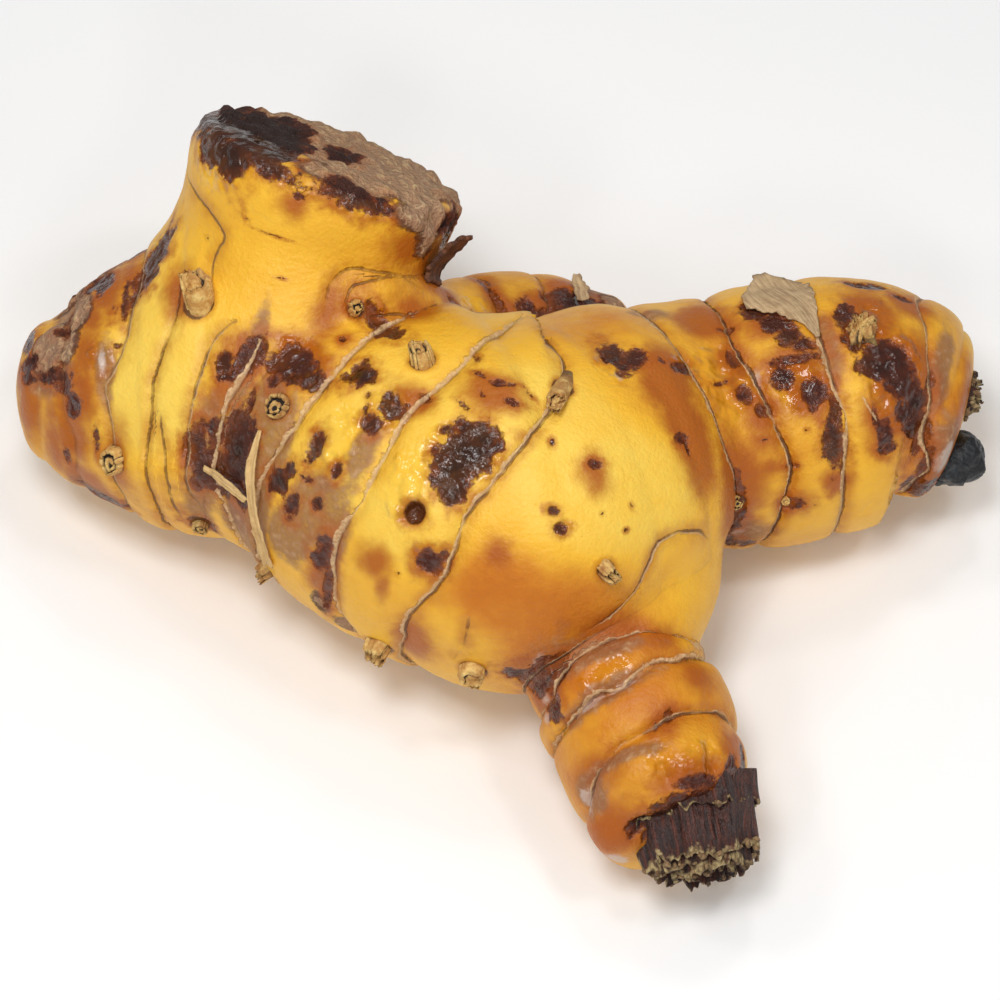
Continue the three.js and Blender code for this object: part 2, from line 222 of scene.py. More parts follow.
def limbAxes(limb, along):
    forward = alongLimb(limb, along, "forward")
    forward /= np.linalg.norm(forward, axis=-1)[..., None]
    side = np.cross(forward, [0.0, 0.0, 1.0])
    side /= np.linalg.norm(side, axis=-1)[..., None]
    return alongLimb(limb, along, "centre"), forward, side, np.cross(side, forward)


def onLimb(name, along, around, lift=0.0):  # place, outward and forward of a spot on a limb's skin
    limb = limbs[name]
    along, angle, lift = np.broadcast_arrays(np.asarray(along, float), np.radians(around), lift)
    held = np.clip(along, 0, limb["length"])
    centre, forward, side, up = limbAxes(limb, held)
    girth = alongLimb(limb, held, "girth")
    past = along - held
    cap = np.where(past < 0, limb["caps"][0], limb["caps"][1])
    taper = np.sqrt(np.clip(1 - (past / cap) ** 2, 0, 1))
    out = up * (np.cos(angle) * girth[..., 1])[..., None] + side * (np.sin(angle) * girth[..., 0])[..., None]
    outward = out / np.linalg.norm(out, axis=-1)[..., None]
    place = centre + forward * past[..., None] + out * taper[..., None] + outward * lift[..., None]
    return place, outward, forward


def ringPlace(table, angle):
    return np.interp(np.degrees(angle), np.arange(360), table, period=360)


def limbCoords(limb, points):  # mm along, angle round and height over the skin of each point
    centre, arc = limb["centre"][::4], limb["arc"][::4]
    last = len(centre) - 1
    along = np.empty(len(points))
    block = 20000  # points at a time, to spare memory
    for start in range(0, len(points), block):
        part = points[start:start + block]
        gap = (part**2).sum(1)[:, None] - 2 * part @ centre.T + (centre**2).sum(1)
        nearest = gap.argmin(1)
        i = np.clip(nearest, 1, last - 1)
        rows = np.arange(len(part))
        before, here, after = gap[rows, i - 1], gap[rows, i], gap[rows, i + 1]
        bend = before - 2 * here + after
        shift = np.where(bend > 1e-3, 0.5 * (before - after) / np.maximum(bend, 1e-3), nearest - i)
        along[start:start + block] = np.interp(i + np.clip(shift, -1, 1), np.arange(last + 1), arc)
    centre, forward, side, up = limbAxes(limb, along)
    ahead, across, above = (((points - centre) * way).sum(1) for way in (forward, side, up))
    beyond = np.where(along >= limb["length"], np.maximum(ahead, 0), 0)
    past = np.where(along <= 0, np.minimum(ahead, 0), beyond)
    girth = alongLimb(limb, along, "girth")
    angle = np.arctan2(across / girth[:, 0], above / girth[:, 1])
    radius = np.hypot(np.cos(angle) * girth[:, 1], np.sin(angle) * girth[:, 0])
    cap = np.where(past < 0, limb["caps"][0], limb["caps"][1])
    spread = np.hypot(across, above)
    outside = np.hypot(past / cap, spread / radius)
    steep = np.maximum(np.hypot(past / cap**2, spread / radius**2), 0.02)
    return along + past, angle, outside * (outside - 1) / steep


def jointSwell(limb, along, angle):
    edges = [np.full_like(angle, -limb["caps"][0])]
    edges += [ringPlace(table, angle) for table in limb["ringTables"]]
    edges += [np.full_like(angle, limb["length"] + limb["caps"][1])]
    relief = np.zeros_like(along)
    for start, end in zip(edges, edges[1:]):
        share = (along - start) / (end - start)
        bulge = limb["swell"] - (limb["swell"] + limb["groove"]) * np.abs(2 * share - 1) ** 4
        relief = np.where((share >= 0) & (share < 1), bulge, relief)
    past = np.clip(np.maximum(-along, along - limb["length"]), 0, None)
    return relief * np.clip(1 - past / 3, 0, 1)


def softMin(a, b, k):
    h = np.clip(0.5 + 0.5 * (b - a) / k, 0, 1)
    return b * (1 - h) + a * h - k * h * (1 - h)


# How many mm each pair of limbs takes to flow together. The crotch below the right finger is tight, and it
# widens to coreToRight between the two heights.
flow = {"knobToLobe": 9.0, "coreToRight": 9.0, "crotch": 1.5, "heights": (7, 19), "collar": 1.4,
        "longFinger": 1.4, "backFinger": 1.6}


def groups(points):  # height over each group of limbs that grew as one, and each limb's own coordinates
    found = {}
    for name, limb in limbs.items():
        along, angle, height = limbCoords(limb, points)
        found[name] = (along, angle, height - jointSwell(limb, along, angle))
    h = {name: own[2] for name, own in found.items()}
    lobe = softMin(h["leftLobe"], h["knob"], flow["knobToLobe"])
    soft = np.interp(points[:, 2], flow["heights"], (flow["crotch"], flow["coreToRight"]))
    body = softMin(h["core"], h["rightFinger"], soft)
    return found, lobe, body, h["longFinger"], h["backFinger"]


def skinHeight(points):
    found, lobe, body, longOne, backOne = groups(points)
    whole = softMin(lobe, body, flow["collar"])
    whole = softMin(whole, longOne, flow["longFinger"])
    return softMin(whole, backOne, flow["backFinger"])


def readPoints(mesh, what="co"):
    values = np.empty(len(mesh.vertices) * 3, np.float32)
    mesh.vertices.foreach_get(what, values)
    return values.reshape(-1, 3).astype(float)


def writePoints(mesh, points):
    mesh.vertices.foreach_set("co", (points * mm).astype(np.float32).ravel())
    mesh.update()


def insideBox(points):  # the looks stay within the solids' own box
    low, high = np.array(cadBox) / mm
    return np.clip(points, low, high)


def linked(name, data):
    obj = bpy.data.objects.new(name, data)
    scene.collection.objects.link(obj)
    return obj


def plainMesh(obj):  # the object's mesh once its modifiers have run; the object itself goes
    done = bpy.data.meshes.new_from_object(obj.evaluated_get(bpy.context.evaluated_depsgraph_get()))
    bpy.data.objects.remove(obj)
    return done


def addField(mesh, name, values, kind="FLOAT"):
    made = mesh.attributes.new(name, kind, "POINT").data
    made.foreach_set("vector" if kind == "FLOAT_VECTOR" else "value", np.asarray(values).ravel())


def outwards(mesh):  # turns every closed shell of a mesh the right way out
    work = bmesh.new()
    work.from_mesh(mesh)
    bmesh.ops.recalc_face_normals(work, faces=work.faces)
    work.to_mesh(mesh)
    work.free()


def finishPiece(obj, slot, *nodes):
    for face in obj.data.polygons:
        face.use_smooth = True
    if nodes:
        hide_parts(*nodes)
    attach(obj, "root")


def grain(points, size, seed=0):  # smooth noise from about -1 to 1
    shift = Vector((seed * 7.3, seed * 3.1, seed * 5.7))
    return np.array([noise.noise(Vector(p) / size + shift) for p in points])


# First how the solid is cut anew and drawn to its limbs, then the skin's own unevenness, in mm but for counts
skin = {
    "voxel": 0.445, "passes": 6, "smoothings": 5, "pull": 0.5,
    "lumps": 0.22, "lumpSize": 9.0, "dimples": 0.06, "dimpleSize": 1.9,
}


def mergedCopy(node, voxel):  # the solid's copy, merged and cut anew into even squares
    mesh = frame["nodes"][node].data.copy()
    work = bmesh.new()
    work.from_mesh(mesh)
    bmesh.ops.remove_doubles(work, verts=work.verts, dist=1e-6)
    work.to_mesh(mesh)
    work.free()
    obj = linked(node + "Work", mesh)
    squares = obj.modifiers.new("squares", "REMESH")
    squares.mode = "VOXEL"
    squares.voxel_size = voxel * mm
    return plainMesh(obj)


def gathered(edges, count, fromSecond, fromFirst):  # at each point, the sum of what its edges bring to it
    total = np.empty((count, fromFirst.shape[1]))
    for axis in range(fromFirst.shape[1]):
        total[:, axis] = np.bincount(edges[:, 0], fromSecond[:, axis], count)
        total[:, axis] += np.bincount(edges[:, 1], fromFirst[:, axis], count)
    return total


def relaxed(values, edges, times):
    count = np.bincount(edges.ravel(), minlength=len(values))[:, None]
    for _ in range(times):
        total = gathered(edges, len(values), values[edges[:, 1]], values[edges[:, 0]])
        values = values * 0.5 + total / count * 0.5
    return values


def drawnSkin():  # the skin's mesh, its edges, points in mm and the way out at each point
    mesh = mergedCopy("rhizome", skin["voxel"])
    edges = np.empty(len(mesh.edges) * 2, np.int32)
    mesh.edges.foreach_get("vertices", edges)
    edges = edges.reshape(-1, 2)
    points = readPoints(mesh) / mm
    for _ in range(skin["passes"]):
        points = relaxed(points, edges, skin["smoothings"])
        writePoints(mesh, points)
        height = np.clip(skinHeight(points), -skin["pull"], skin["pull"])
        points = points - readPoints(mesh, "normal") * height[:, None]
    writePoints(mesh, points)
    return mesh, edges, points, readPoints(mesh, "normal")


skinMesh, edges, points, outward = drawnSkin()
print("skin drawn to its limbs:", len(points), "points")


def distanceTo(field):  # a field that is 0 on a line, turned into signed mm from that line
    along = points[edges[:, 1]] - points[edges[:, 0]]
    length = np.linalg.norm(along, axis=1)
    slope = ((field[edges[:, 1]] - field[edges[:, 0]]) / length**2)[:, None] * along
    pull = gathered(edges, len(points), slope, slope) * 2
    pull /= np.bincount(edges.ravel(), minlength=len(points))[:, None]
    steep = relaxed(np.linalg.norm(pull, axis=1)[:, None], edges, 4)[:, 0]
    return field / np.maximum(steep, 0.25)


# Where neighbouring limbs meet: dark line, partly a scar and partly painted shade in the crease, raised
# papery edge
creases = {"collar": (0.3, 0.1), "longFinger": (1, 0.6), "backFinger": (0.8, 0.25)}

# sway and fray: mm that a ring wanders. reach: mm from a short scar to the skin that it marks. longest: mm
# that one may have. places: how often it is measured. ends: how fast it fades in and out.
scarLook = {"sway": 0.14, "fray": 0.12, "buried": 0.6, "reach": 3, "longest": 44, "places": 80, "ends": 6}

farOff = 9.0  # mm that stand for nowhere near
scar = np.full(len(points), farOff)  # signed mm from the nearest ring or crease
darkLine = np.zeros(len(points))
paleEdge = np.zeros(len(points))


def addScar(gap, dark, edge, where):
    nearer = where & (np.abs(gap) < np.abs(scar))
    scar[nearer] = gap[nearer]
    darkLine[nearer] = np.broadcast_to(dark, len(points))[nearer]
    paleEdge[nearer] = np.broadcast_to(edge, len(points))[nearer]


def addRings():
    found, lobe, body, longOne, backOne = groups(points)
    lowest = np.min(np.stack([own[2] for own in found.values()]), axis=0)
    for name, limb in limbs.items():
        along, angle, height = found[name]
        for number, (dark, edge, knots) in enumerate(limb["rings"]):
            if dark + edge > 0:
                sway = scarLook["sway"] * np.sin(angle * 9 + number * 2.1)
                fray = scarLook["fray"] * grain(points, 2.2, 20 + number)
                gap = distanceTo(along - ringPlace(limb["ringTables"][number], angle) + sway + fray)
                addScar(gap, dark, edge, height < lowest + scarLook["buried"])
    near = np.minimum(lobe, body)
    addScar(distanceTo(lobe - body), *creases["collar"], (near < longOne) & (near < backOne))
    lowSide = np.clip((13 - points[:, 0]) / 4, 0.1, 1)  # the crease smooths out towards the right finger
    dark, edge = creases["longFinger"]
    addScar(distanceTo(near - longOne), dark * lowSide, edge * lowSide, near < farOff)
    everywhere = np.ones(len(points), bool)
    addScar(distanceTo(np.minimum(near, longOne) - backOne), *creases["backFinger"], everywhere)


def addShortScars():
    t = np.linspace(0, 1, scarLook["places"])
    for limb, dark, edge, knots in shortScars:
        along, around = curveThrough(knots, t).T
        place, out, forward = onLimb(limb, along, around)
        way = np.gradient(place, axis=0)
        side = np.cross(way / np.linalg.norm(way, axis=1)[:, None], out)
        close = np.flatnonzero(np.linalg.norm(points - place.mean(0), axis=1) < scarLook["longest"] / 2)
        i = ((points[close][:, None] - place[None]) ** 2).sum(2).argmin(1)
        away = points[close] - place[i]
        gap, share, here = np.full(len(points), farOff), np.zeros(len(points)), np.zeros(len(points), bool)
        gap[close] = (away * side[i]).sum(1)
        share[close] = np.clip(scarLook["ends"] * np.minimum(t[i], 1 - t[i]), 0, 1)
        here[close] = (np.linalg.norm(away, axis=1) < scarLook["reach"]) & (i > 0) & (i < len(t) - 1)
        addScar(gap, dark * share, edge * share, here)


addRings()
addShortScars()
print("rings and creases placed")

# Marks on the skin, by limb: mm along, degrees round from the top, half length, half width, and last, where
# the length doesn't run along the limb, the degrees that it is turned
marks = {
    "bruise": {
        "leftLobe": [
            (20.3, 17, 1.6, 3, -10), (33, 331, 3, 0.7), (31, 326, 1.4, 0.9), (30, 318, 1, 1.3),
            (36.4, 333, 1.1, 0.6), (24.4, 44, 2.6, 1.8), (27, 21, 1, 1.8), (30, 44, 3, 1.4),
            (25.4, 344, 0.6, 0.4), (24.8, 6, 0.5, 2.4), (29, 252, 2.6, 1.5), (31.8, 2, 1.2, 0.6),
            (31.6, 282, 0.5, 1), (27.6, 26, 1.4, 1.4), (36.6, 344, 1.4, 0.9), (37, 10, 1, 1.6),
            (27.6, 300, 0.4, 1.6), (15.6, 262, 1.6, 1.6),
        ],
        "knob": [
            (30.2, 300, 8.5, 6.5), (30.2, 332, 6, 5), (27, 336, 2.1, 3.2), (28.4, 318, 1.8, 3.4),
            (27.7, 348, 1.2, 2.4), (27, 326, 1.6, 2.4), (28.4, 356, 1, 2.6), (28, 262, 2.6, 4),
            (28, 290, 1.6, 3), (29.4, 350, 2.4, 3.4), (27.3, 6, 0.35, 2.2), (26.6, 12, 0.4, 0.7),
            (22.1, 2, 0.15, 1.9), (16.9, 7, 0.15, 0.5), (18.3, 327, 0.25, 0.35), (27.8, 40, 1.1, 2.2),
            # (27.3, 88) and (26, 96) are partly bruise and partly painted shadow under the torn flap of skin
            (28.8, 28, 1.2, 2.2), (27.3, 88, 1.2, 1.4), (26, 96, 2.4, 1.6), (22.7, 350, 0.15, 0.4),
            (30.6, 30, 3, 2),
        ],
        "core": [
            (13.6, 12, 2.9, 2.1), (16, 15, 1.3, 1.1), (8.8, 10, 1.1, 2.4, 30), (6.6, 16, 0.8, 1.4),
            (7.4, 62, 2.4, 2.6), (7, 44, 1, 1.6), (17.4, 54, 1.8, 1.6), (4.8, 54, 1, 2.6),
            (10.2, 50, 2.4, 4.4), (12, 66, 0.8, 1.9), (5.3, 68, 0.7, 1.2), (18.3, 49, 0.9, 1.1),
            (20.2, 48, 0.9, 0.4), (18, 55, 0.5, 0.6), (19.6, 60, 0.8, 1.4), (19.8, 36, 0.8, 1.5),
            (24.5, 71, 1.1, 1.8), (25.2, 86, 0.5, 2.8), (18, 103, 0.4, 0.4), (20, 7.5, 1.7, 1.5),
            (18.2, 343, 2.4, 1.2, 12), (16.2, 355, 0.4, 0.4), (25, 12.5, 1.3, 1.4), (24.2, 21, 1.1, 1.1),
            (27.2, 5, 1, 0.5), (22.4, 13, 0.4, 0.5), (22.9, 17, 0.4, 0.5), (23, 40, 0.6, 0.9),
            (33.2, 56, 1.2, 1.2), (34, 52, 0.5, 0.8), (30.8, 64, 0.25, 0.3), (30.9, 42.5, 0.9, 1),
            (33.9, 13, 2.7, 1.5), (33.3, 19, 2.9, 2.1), (32.9, 26, 2.3, 2.4), (33.2, 32, 1.5, 1.6),
            (30.5, 14, 0.5, 0.6), (31.6, 351, 1.1, 0.35, 20), (33.4, 353, 0.9, 0.5), (35.2, 359, 0.9, 0.5),
            (32.4, 358, 0.8, 0.3, 40), (34.6, 353, 0.7, 0.3, -30), (31.3, 4, 1, 0.35, 20),
            (36.2, 353, 0.8, 0.3, 30), (30.6, 344, 0.9, 0.4, 50), (38.8, 11.5, 0.35, 0.5),
            (41, 22, 0.7, 0.5), (38.7, 33.5, 0.7, 0.5), (38.9, 40, 0.8, 0.6), (40.8, 38, 0.3, 0.25),
            (42.8, 39, 0.25, 0.4), (42, 46, 0.3, 0.25), (12.4, 20, 0.7, 0.8), (10.8, 30, 0.5, 1.3),
            (22.2, 54, 0.6, 0.8),
        ],
        "rightFinger": [
            (8.8, 2, 1.7, 2.4), (10.6, 4, 1.2, 1), (8.2, 11, 0.6, 0.7), (10.3, 39, 1, 0.6),
            (10.3, 44, 0.3, 1.3), (14.8, 13, 1.3, 0.7), (12.6, 9, 0.4, 0.5), (24.1, 349, 0.9, 0.5),
            (23.8, 8, 0.8, 1), (19.6, 20, 1.3, 0.3), (24, 24, 0.8, 1.1), (26.4, 33, 0.9, 0.7),
            (25.9, 45, 0.5, 0.25), (29.2, 59.5, 0.9, 0.3), (20.6, 84, 0.9, 2.8), (28.8, 343, 1.5, 1.4, 20),
            (30.3, 352, 1.5, 1.4, 20), (31.8, 0, 1.6, 1.2, 20), (33.2, 6, 1.6, 0.8), (31.4, 12, 2.6, 0.6),
            (29.1, 19.5, 1.1, 1), (33.6, 29, 1.6, 1.3), (32.5, 35, 0.6, 0.7), (35.1, 38, 0.7, 2.2),
            (34.9, 52, 1, 2.7), (35.4, 63, 0.4, 1.6), (30, 78, 1.1, 0.7), (31.4, 44, 0.25, 0.25),
            (31.8, 81, 0.3, 0.25), (39.2, 355, 1.1, 1.8), (39.6, 5, 1.3, 2), (42.4, 13, 2.4, 1.3),
            (43, 21, 3, 1.9), (44.4, 29, 2.6, 2.1), (45.8, 38, 2.2, 2.2), (46.8, 46, 1.7, 1.8),
            (48.6, 54, 0.9, 1.8), (50, 66, 0.7, 2.2), (47.4, 22, 0.7, 1.4), (40.3, 44, 0.35, 1.6),
            (41.3, 53, 0.8, 1.5), (41.9, 59, 1.1, 0.6), (42.3, 328, 1.8, 0.9), (44.6, 333, 1.3, 0.5),
            (43.2, 343, 0.15, 0.6), (50.4, 96, 2, 2), (18, 108, 2.2, 1.6), (18.6, 74, 0.9, 2.8),
        ],
        "longFinger": [
            # Near the tip, round the foot of the torn stem, the darkest of these are partly bruise and partly
            # painted shade in the hollows between the lobes and the stem
            (30.2, 354, 1, 0.5, 20), (31, 3, 0.8, 0.35, 30), (41.8, 345, 5, 5), (41.4, 30, 3.4, 2.2),
            (40.6, 46, 0.9, 1.4), (40.2, 8, 0.8, 1.2), (39, 345, 0.6, 2.4), (40, 318, 1.4, 1.6),
            (37.6, 316, 1.6, 1), (36.2, 300, 1.6, 0.9), (20.2, 52, 1.6, 2), (22.4, 62, 1.4, 1.2),
            (19.4, 70, 2, 1.6),
        ],
        "backFinger": [
            (9.4, 18, 1, 1.6), (19.6, 0, 0.5, 2.8), (23.6, 16, 1.1, 2.2), (33, 348, 3.4, 2.1),
            (30, 5, 1.4, 1.2), (27.6, 24, 1.1, 1.6),
        ],
    },
    "stain": {
        "leftLobe": [
            (30.4, 314, 2.4, 2.6), (30.6, 298, 2.6, 3), (26.4, 16, 2, 3.4), (33, 330, 3.6, 1.6),
            (30, 262, 3.4, 4), (25.4, 292, 1, 2.8), (28, 340, 1.6, 3), (36.6, 305, 2, 3),
            (14.2, 2, 1.6, 2.2), (37, 330, 2.6, 2), (33, 285, 1.2, 4), (24.6, 20, 1, 3),
            (27.6, 0, 1.2, 1.6), (28.4, 320, 1.2, 3),
        ],
        "knob": [
            (26, 9, 1.1, 1.1), (24.6, 66, 1.8, 2.6), (21, 84, 3, 3), (13, 62, 1.4, 2), (12.6, 78, 1.4, 3),
            (15, 40, 0.8, 2.2),
        ],
        "core": [
            (13, 20, 1.6, 1.6), (14, 10, 3.2, 2.6), (8.6, 8, 1.6, 2.2), (12, 340, 1.2, 2.4),
            (6.5, 29, 1.2, 1.6), (16.2, 355, 0.8, 0.8), (26.2, 7, 1.8, 1.2), (33, 57, 1.6, 1.6),
            (33.4, 357, 3, 2.2), (29, 63, 1.5, 1.3), (30, 70, 0.5, 1.4), (40.8, 25, 1.2, 1.6),
            (36.8, 48, 0.9, 0.9), (25.2, 84, 1, 4), (22, 46, 0.7, 1), (10, 76, 2, 2.4), (24.6, 78, 1.6, 3),
            (33, 92, 2, 3),
        ],
        "rightFinger": [
            (12.6, 9, 3.2, 2), (12, 20, 3, 3), (10.6, 34, 1.6, 2), (15, 72, 1.9, 3), (17.4, 92, 2.4, 4),
            (26.4, 34, 1.8, 2), (26.2, 45, 1.2, 1), (26.4, 58.5, 1.4, 0.7), (33, 28, 2.8, 2.6),
            (32, 12, 3, 2), (34.6, 70, 1.2, 1.2), (29, 352, 2.4, 2), (24, 349, 1.6, 1), (23.6, 10, 1.6, 2),
            (22, 342, 3, 3), (42, 352, 2.6, 3.6), (41, 46, 1.8, 3), (45, 338, 2.4, 2), (52, 70, 2.4, 4.4),
            (52, 20, 1.8, 4), (45, 30, 4.6, 6), (16.4, 68, 3.4, 6), (17.6, 72, 2.4, 4), (12, 40, 2.6, 6),
            (20, 84, 2, 5), (30, 78, 1.6, 1.2),
        ],
        "longFinger": [
            (19, 0, 1.2, 3.4), (30.6, 358, 1.4, 1.4), (22, 338, 1.2, 2), (38.6, 342, 1.8, 4),
            (36, 312, 2, 2), (21, 62, 3, 3), (33, 46, 1.4, 3), (39, 66, 1.6, 3), (27, 325, 1.4, 1.6),
        ],
        "backFinger": [(26.6, 10, 2.6, 3.6), (19.8, 8, 1.4, 4), (34, 348, 4, 4), (9.6, 14, 1.8, 3)],
    },
    "film": {
        "leftLobe": [
            (29.4, 254, 3.2, 2.2), (26.4, 332, 0.7, 2.4), (27, 44, 5, 2.4), (31.4, 22, 2.4, 3),
            (33.6, 342, 3.4, 3), (14.4, 270, 1, 3),
        ],
        "knob": [(27.6, 76, 1.2, 3)],
        "core": [
            (15, 47, 2, 5.4), (12.4, 30, 1.6, 3), (14, 70, 2, 5), (6, 60, 1.6, 5), (10, 56, 2.4, 6),
            (22, 57, 3, 3.6), (24.7, 31, 0.9, 2.2), (9, 4, 0.6, 2.6), (8.6, 20, 0.7, 3.4), (20, 72, 2.4, 3),
            (24.8, 62, 1, 4), (11, 84, 3, 4),
        ],
        "rightFinger": [
            (35.8, 8, 0.8, 2.4), (17.2, 334, 1.4, 0.9), (48, 12, 0.9, 3.6), (51, 58, 2, 3.4),
            (20, 98, 4, 2), (31, 338, 2, 2),
        ],
        "longFinger": [
            (25, 30, 0.8, 4), (34.6, 64, 1.6, 1.8), (20.6, 30, 0.9, 4), (20.4, 56, 1.6, 1.6),
            (33.4, 34, 0.6, 3),
        ],
        "backFinger": [(37.6, 338, 2, 3.6)],
    },
    # whitish patches: in places a pale bloom, in places painted glints of light
    "wax": {
        "leftLobe": [(26.5, 336, 0.4, 1.4)],
        "rightFinger": [
            (8, 12, 0.5, 0.8), (20.4, 96, 1.6, 0.6), (51.6, 62, 1.4, 1.8), (26.4, 17, 0.5, 1.2),
        ],
        "longFinger": [
            (25, 42, 0.5, 1.8), (34.8, 70, 1.2, 0.9), (20.4, 46, 0.5, 2.2), (20.8, 70, 1.6, 0.8),
            (23, 72, 0.6, 0.9), (25.2, 15, 0.35, 1.8), (17.4, 58, 2, 0.6), (40.4, 96, 1, 1.6),
        ],
    },
    "cork": {
        "leftLobe": [(33.9, 352, 2.4, 3.2), (30.8, 349, 1.6, 1.9), (29.6, 10, 2, 2.6), (30, 36, 3.4, 1.1)],
        "knob": [
            (30.66, 180, 14.8, 15), (29.6, 62, 2.2, 8), (29.6, 28, 2.2, 5), (27.6, 66, 1.2, 3),
            (27.2, 80, 1.4, 2.6), (27.6, 110, 1.6, 5), (27.6, 150, 1.6, 6), (27.6, 200, 1.6, 7),
            (28, 236, 1.4, 4),
        ],
        "core": [(27, 104, 1.3, 1.2), (24.4, 96, 0.9, 1.4)],
        "backFinger": [(38.6, 335, 1.4, 2)],
    },
    "wet": {
        "leftLobe": [(26.6, 338, 1.2, 1.8)],
        "knob": [(29, 330, 5, 5), (27.3, 6, 0.6, 2.2), (28.4, 38, 1.4, 2.4)],
        "core": [
            (33, 20, 4.2, 3.4), (29.4, 34, 2, 3.4), (21.6, 32, 2.6, 4), (13.6, 10, 3, 2.4),
            (24.6, 15, 2.4, 2.4), (20, 7, 1.6, 1.4), (33, 55, 1.4, 1.6), (17.6, 340, 2, 1),
            (39, 40, 0.8, 0.8),
        ],
        "rightFinger": [
            (43.5, 24, 3.4, 5.4), (21, 18, 3.4, 4.4), (31, 22, 2.6, 3), (8.4, 8, 1.6, 2.4), (42, 352, 1, 1),
            (15, 12, 1.4, 1.4),
        ],
        "longFinger": [(23.4, 18, 1.6, 2.6), (37, 340, 2, 2), (35, 8, 1.6, 1.4)],
        "backFinger": [(15, 25, 2, 2)],
    },
}

# Broad colour of the skin, -1 pale to 1 orange, by limb: mm along, degrees round, reach in mm, tint. Partly
# the skin's own tone and partly painted light: orange on the lower sides is painted shade, pale on top is
# painted highlight.
washes = {
    "leftLobe": [
        (18, 330, 8, -0.7), (14, 350, 7, -0.2), (22, 345, 6, -0.7), (22, 310, 6, -0.5), (16, 275, 7, 0.1),
        (30, 0, 8, 0.5), (34, 300, 8, 0.4), (22, 270, 8, 0.2), (20, 180, 20, 0.1),
    ],
    "knob": [(22, 0, 8, 0.1), (16, 5, 8, -0.05), (23, 50, 8, 0.2), (20, 60, 7, 0.3), (24, 312, 6, 0)],
    "core": [
        (22, 355, 7, -0.25), (21, 35, 6, -0.3), (31, 10, 7, -0.3), (31, 45, 6, -0.35), (38, 0, 6, -0.6),
        (40, 25, 7, -0.5), (44, 35, 7, -0.5), (37, 62, 6, 0.9), (39, 75, 7, 1), (35, 85, 7, 0.35),
        (30, 95, 8, 0.2), (22, 95, 8, 0.2), (12, 80, 7, 0.2), (6, 20, 5, 0.2), (14, 350, 5, 0.2),
        (30, 180, 20, 0.1),
    ],
    "rightFinger": [
        (9, 340, 6, 0.6), (14, 25, 7, 0.6), (22, 350, 7, 0.45), (22, 45, 7, 0.45), (24, 90, 7, 0.2),
        (30, 50, 7, 0.35), (32, 85, 7, 0), (38, 60, 6, 0.1), (40, 90, 7, 0.05), (38, 340, 7, 0.4),
        (45, 345, 7, 0.4), (51, 20, 6, 0.6), (50, 60, 6, 0.9), (30, 180, 20, 0.2),
    ],
    "longFinger": [
        (12, 330, 6, 0.1), (14, 20, 6, 0.6), (30, 70, 6, 0.7), (20, 70, 6, 0.6), (30, 320, 6, 0.6),
        (38, 70, 5, 0.8), (22, 0, 7, 0.9), (27, 20, 7, 0.9), (34, 0, 6, 0.6), (36, 50, 6, 0.7),
        (28, 180, 12, 0.5),
    ],
    "backFinger": [(0, 10, 7, 0.3), (16, 20, 6, 0.1), (24, 0, 7, 0.5), (34, 0, 7, 0.6)],
}

# deep: mm over or under a mark to its end. turnedAway: how far round skin may face. rim: mm of soft edge
markLook = {"deep": 6.0, "turnedAway": -0.4, "rim": 0.35}

tree = KDTree(len(points))
for number, point in enumerate(points):
    tree.insert(point, number)
tree.balance()


def eachOn(table):  # every entry of a table kept by limb, with its limb's name put first
    return [(limb, *entry) for limb, entries in table.items() for entry in entries]


def spot(limb, along, around):  # a place on the skin itself, the way out of it, along it and round it
    place, out, forward = onLimb(limb, along, around)
    nearest = tree.find(place)[1]
    near = [number for _, number, _ in tree.find_range(points[nearest], 1.2)]
    out = outward[near].mean(0)
    out /= np.linalg.norm(out)
    forward = forward - out * (forward @ out)
    if np.linalg.norm(forward) < 0.3:
        forward = np.cross(out, [1.0, 0.0, 0.0])
    forward /= np.linalg.norm(forward)
    return points[nearest], out, forward, np.cross(forward, out)


def patch(limb, along, around, half, halfWide, turn=0):  # the skin measured from an oval laid on it
    place, out, forward, side = spot(limb, along, around)
    turned = math.radians(turn)
    away = points - place
    major = away @ (forward * math.cos(turned) + side * math.sin(turned)) / half
    minor = away @ (side * math.cos(turned) - forward * math.sin(turned)) / halfWide
    return major, minor, away @ out, outward @ out


coarse, fine, rough = grain(points, 2.4, 1), grain(points, 0.9, 2), grain(points, 1.3, 3)
jagged = {"bruise": coarse * 0.75 + fine * 0.6, "cork": coarse * 0.3 + fine * 0.3}


def markField(kind):  # mm inside the nearest mark, negative outside
    deep = markLook["deep"]
    field = np.full(len(points), -deep)
    for limb, along, around, half, halfWide, *turn in eachOn(marks[kind]):
        major, minor, above, facing = patch(limb, along, around, half, halfWide, *turn)
        spread = np.sqrt(major**2 + minor**2 + (above / deep) ** 2)
        narrow = min(half, halfWide)  # small marks have less of a rim and smaller jags
        inside = (1 - spread) * np.where(spread < 1, narrow, max(narrow, 1))
        inside += markLook["rim"] * min(1, narrow / 0.9)
        if kind in jagged:
            inside += jagged[kind] * min(1, narrow / 1.4)
        inside[facing < markLook["turnedAway"]] = -deep
        field = np.maximum(field, inside)
    return field


def washField():
    total, weight = np.zeros(len(points)), np.full(len(points), 0.1)
    for limb, along, around, reach, tint in eachOn(washes):
        place = onLimb(limb, along, around)[0]
        share = np.exp(-((points - place) ** 2).sum(1) / (reach * 0.7) ** 2)
        total += share * tint
        weight += share
    return total / weight


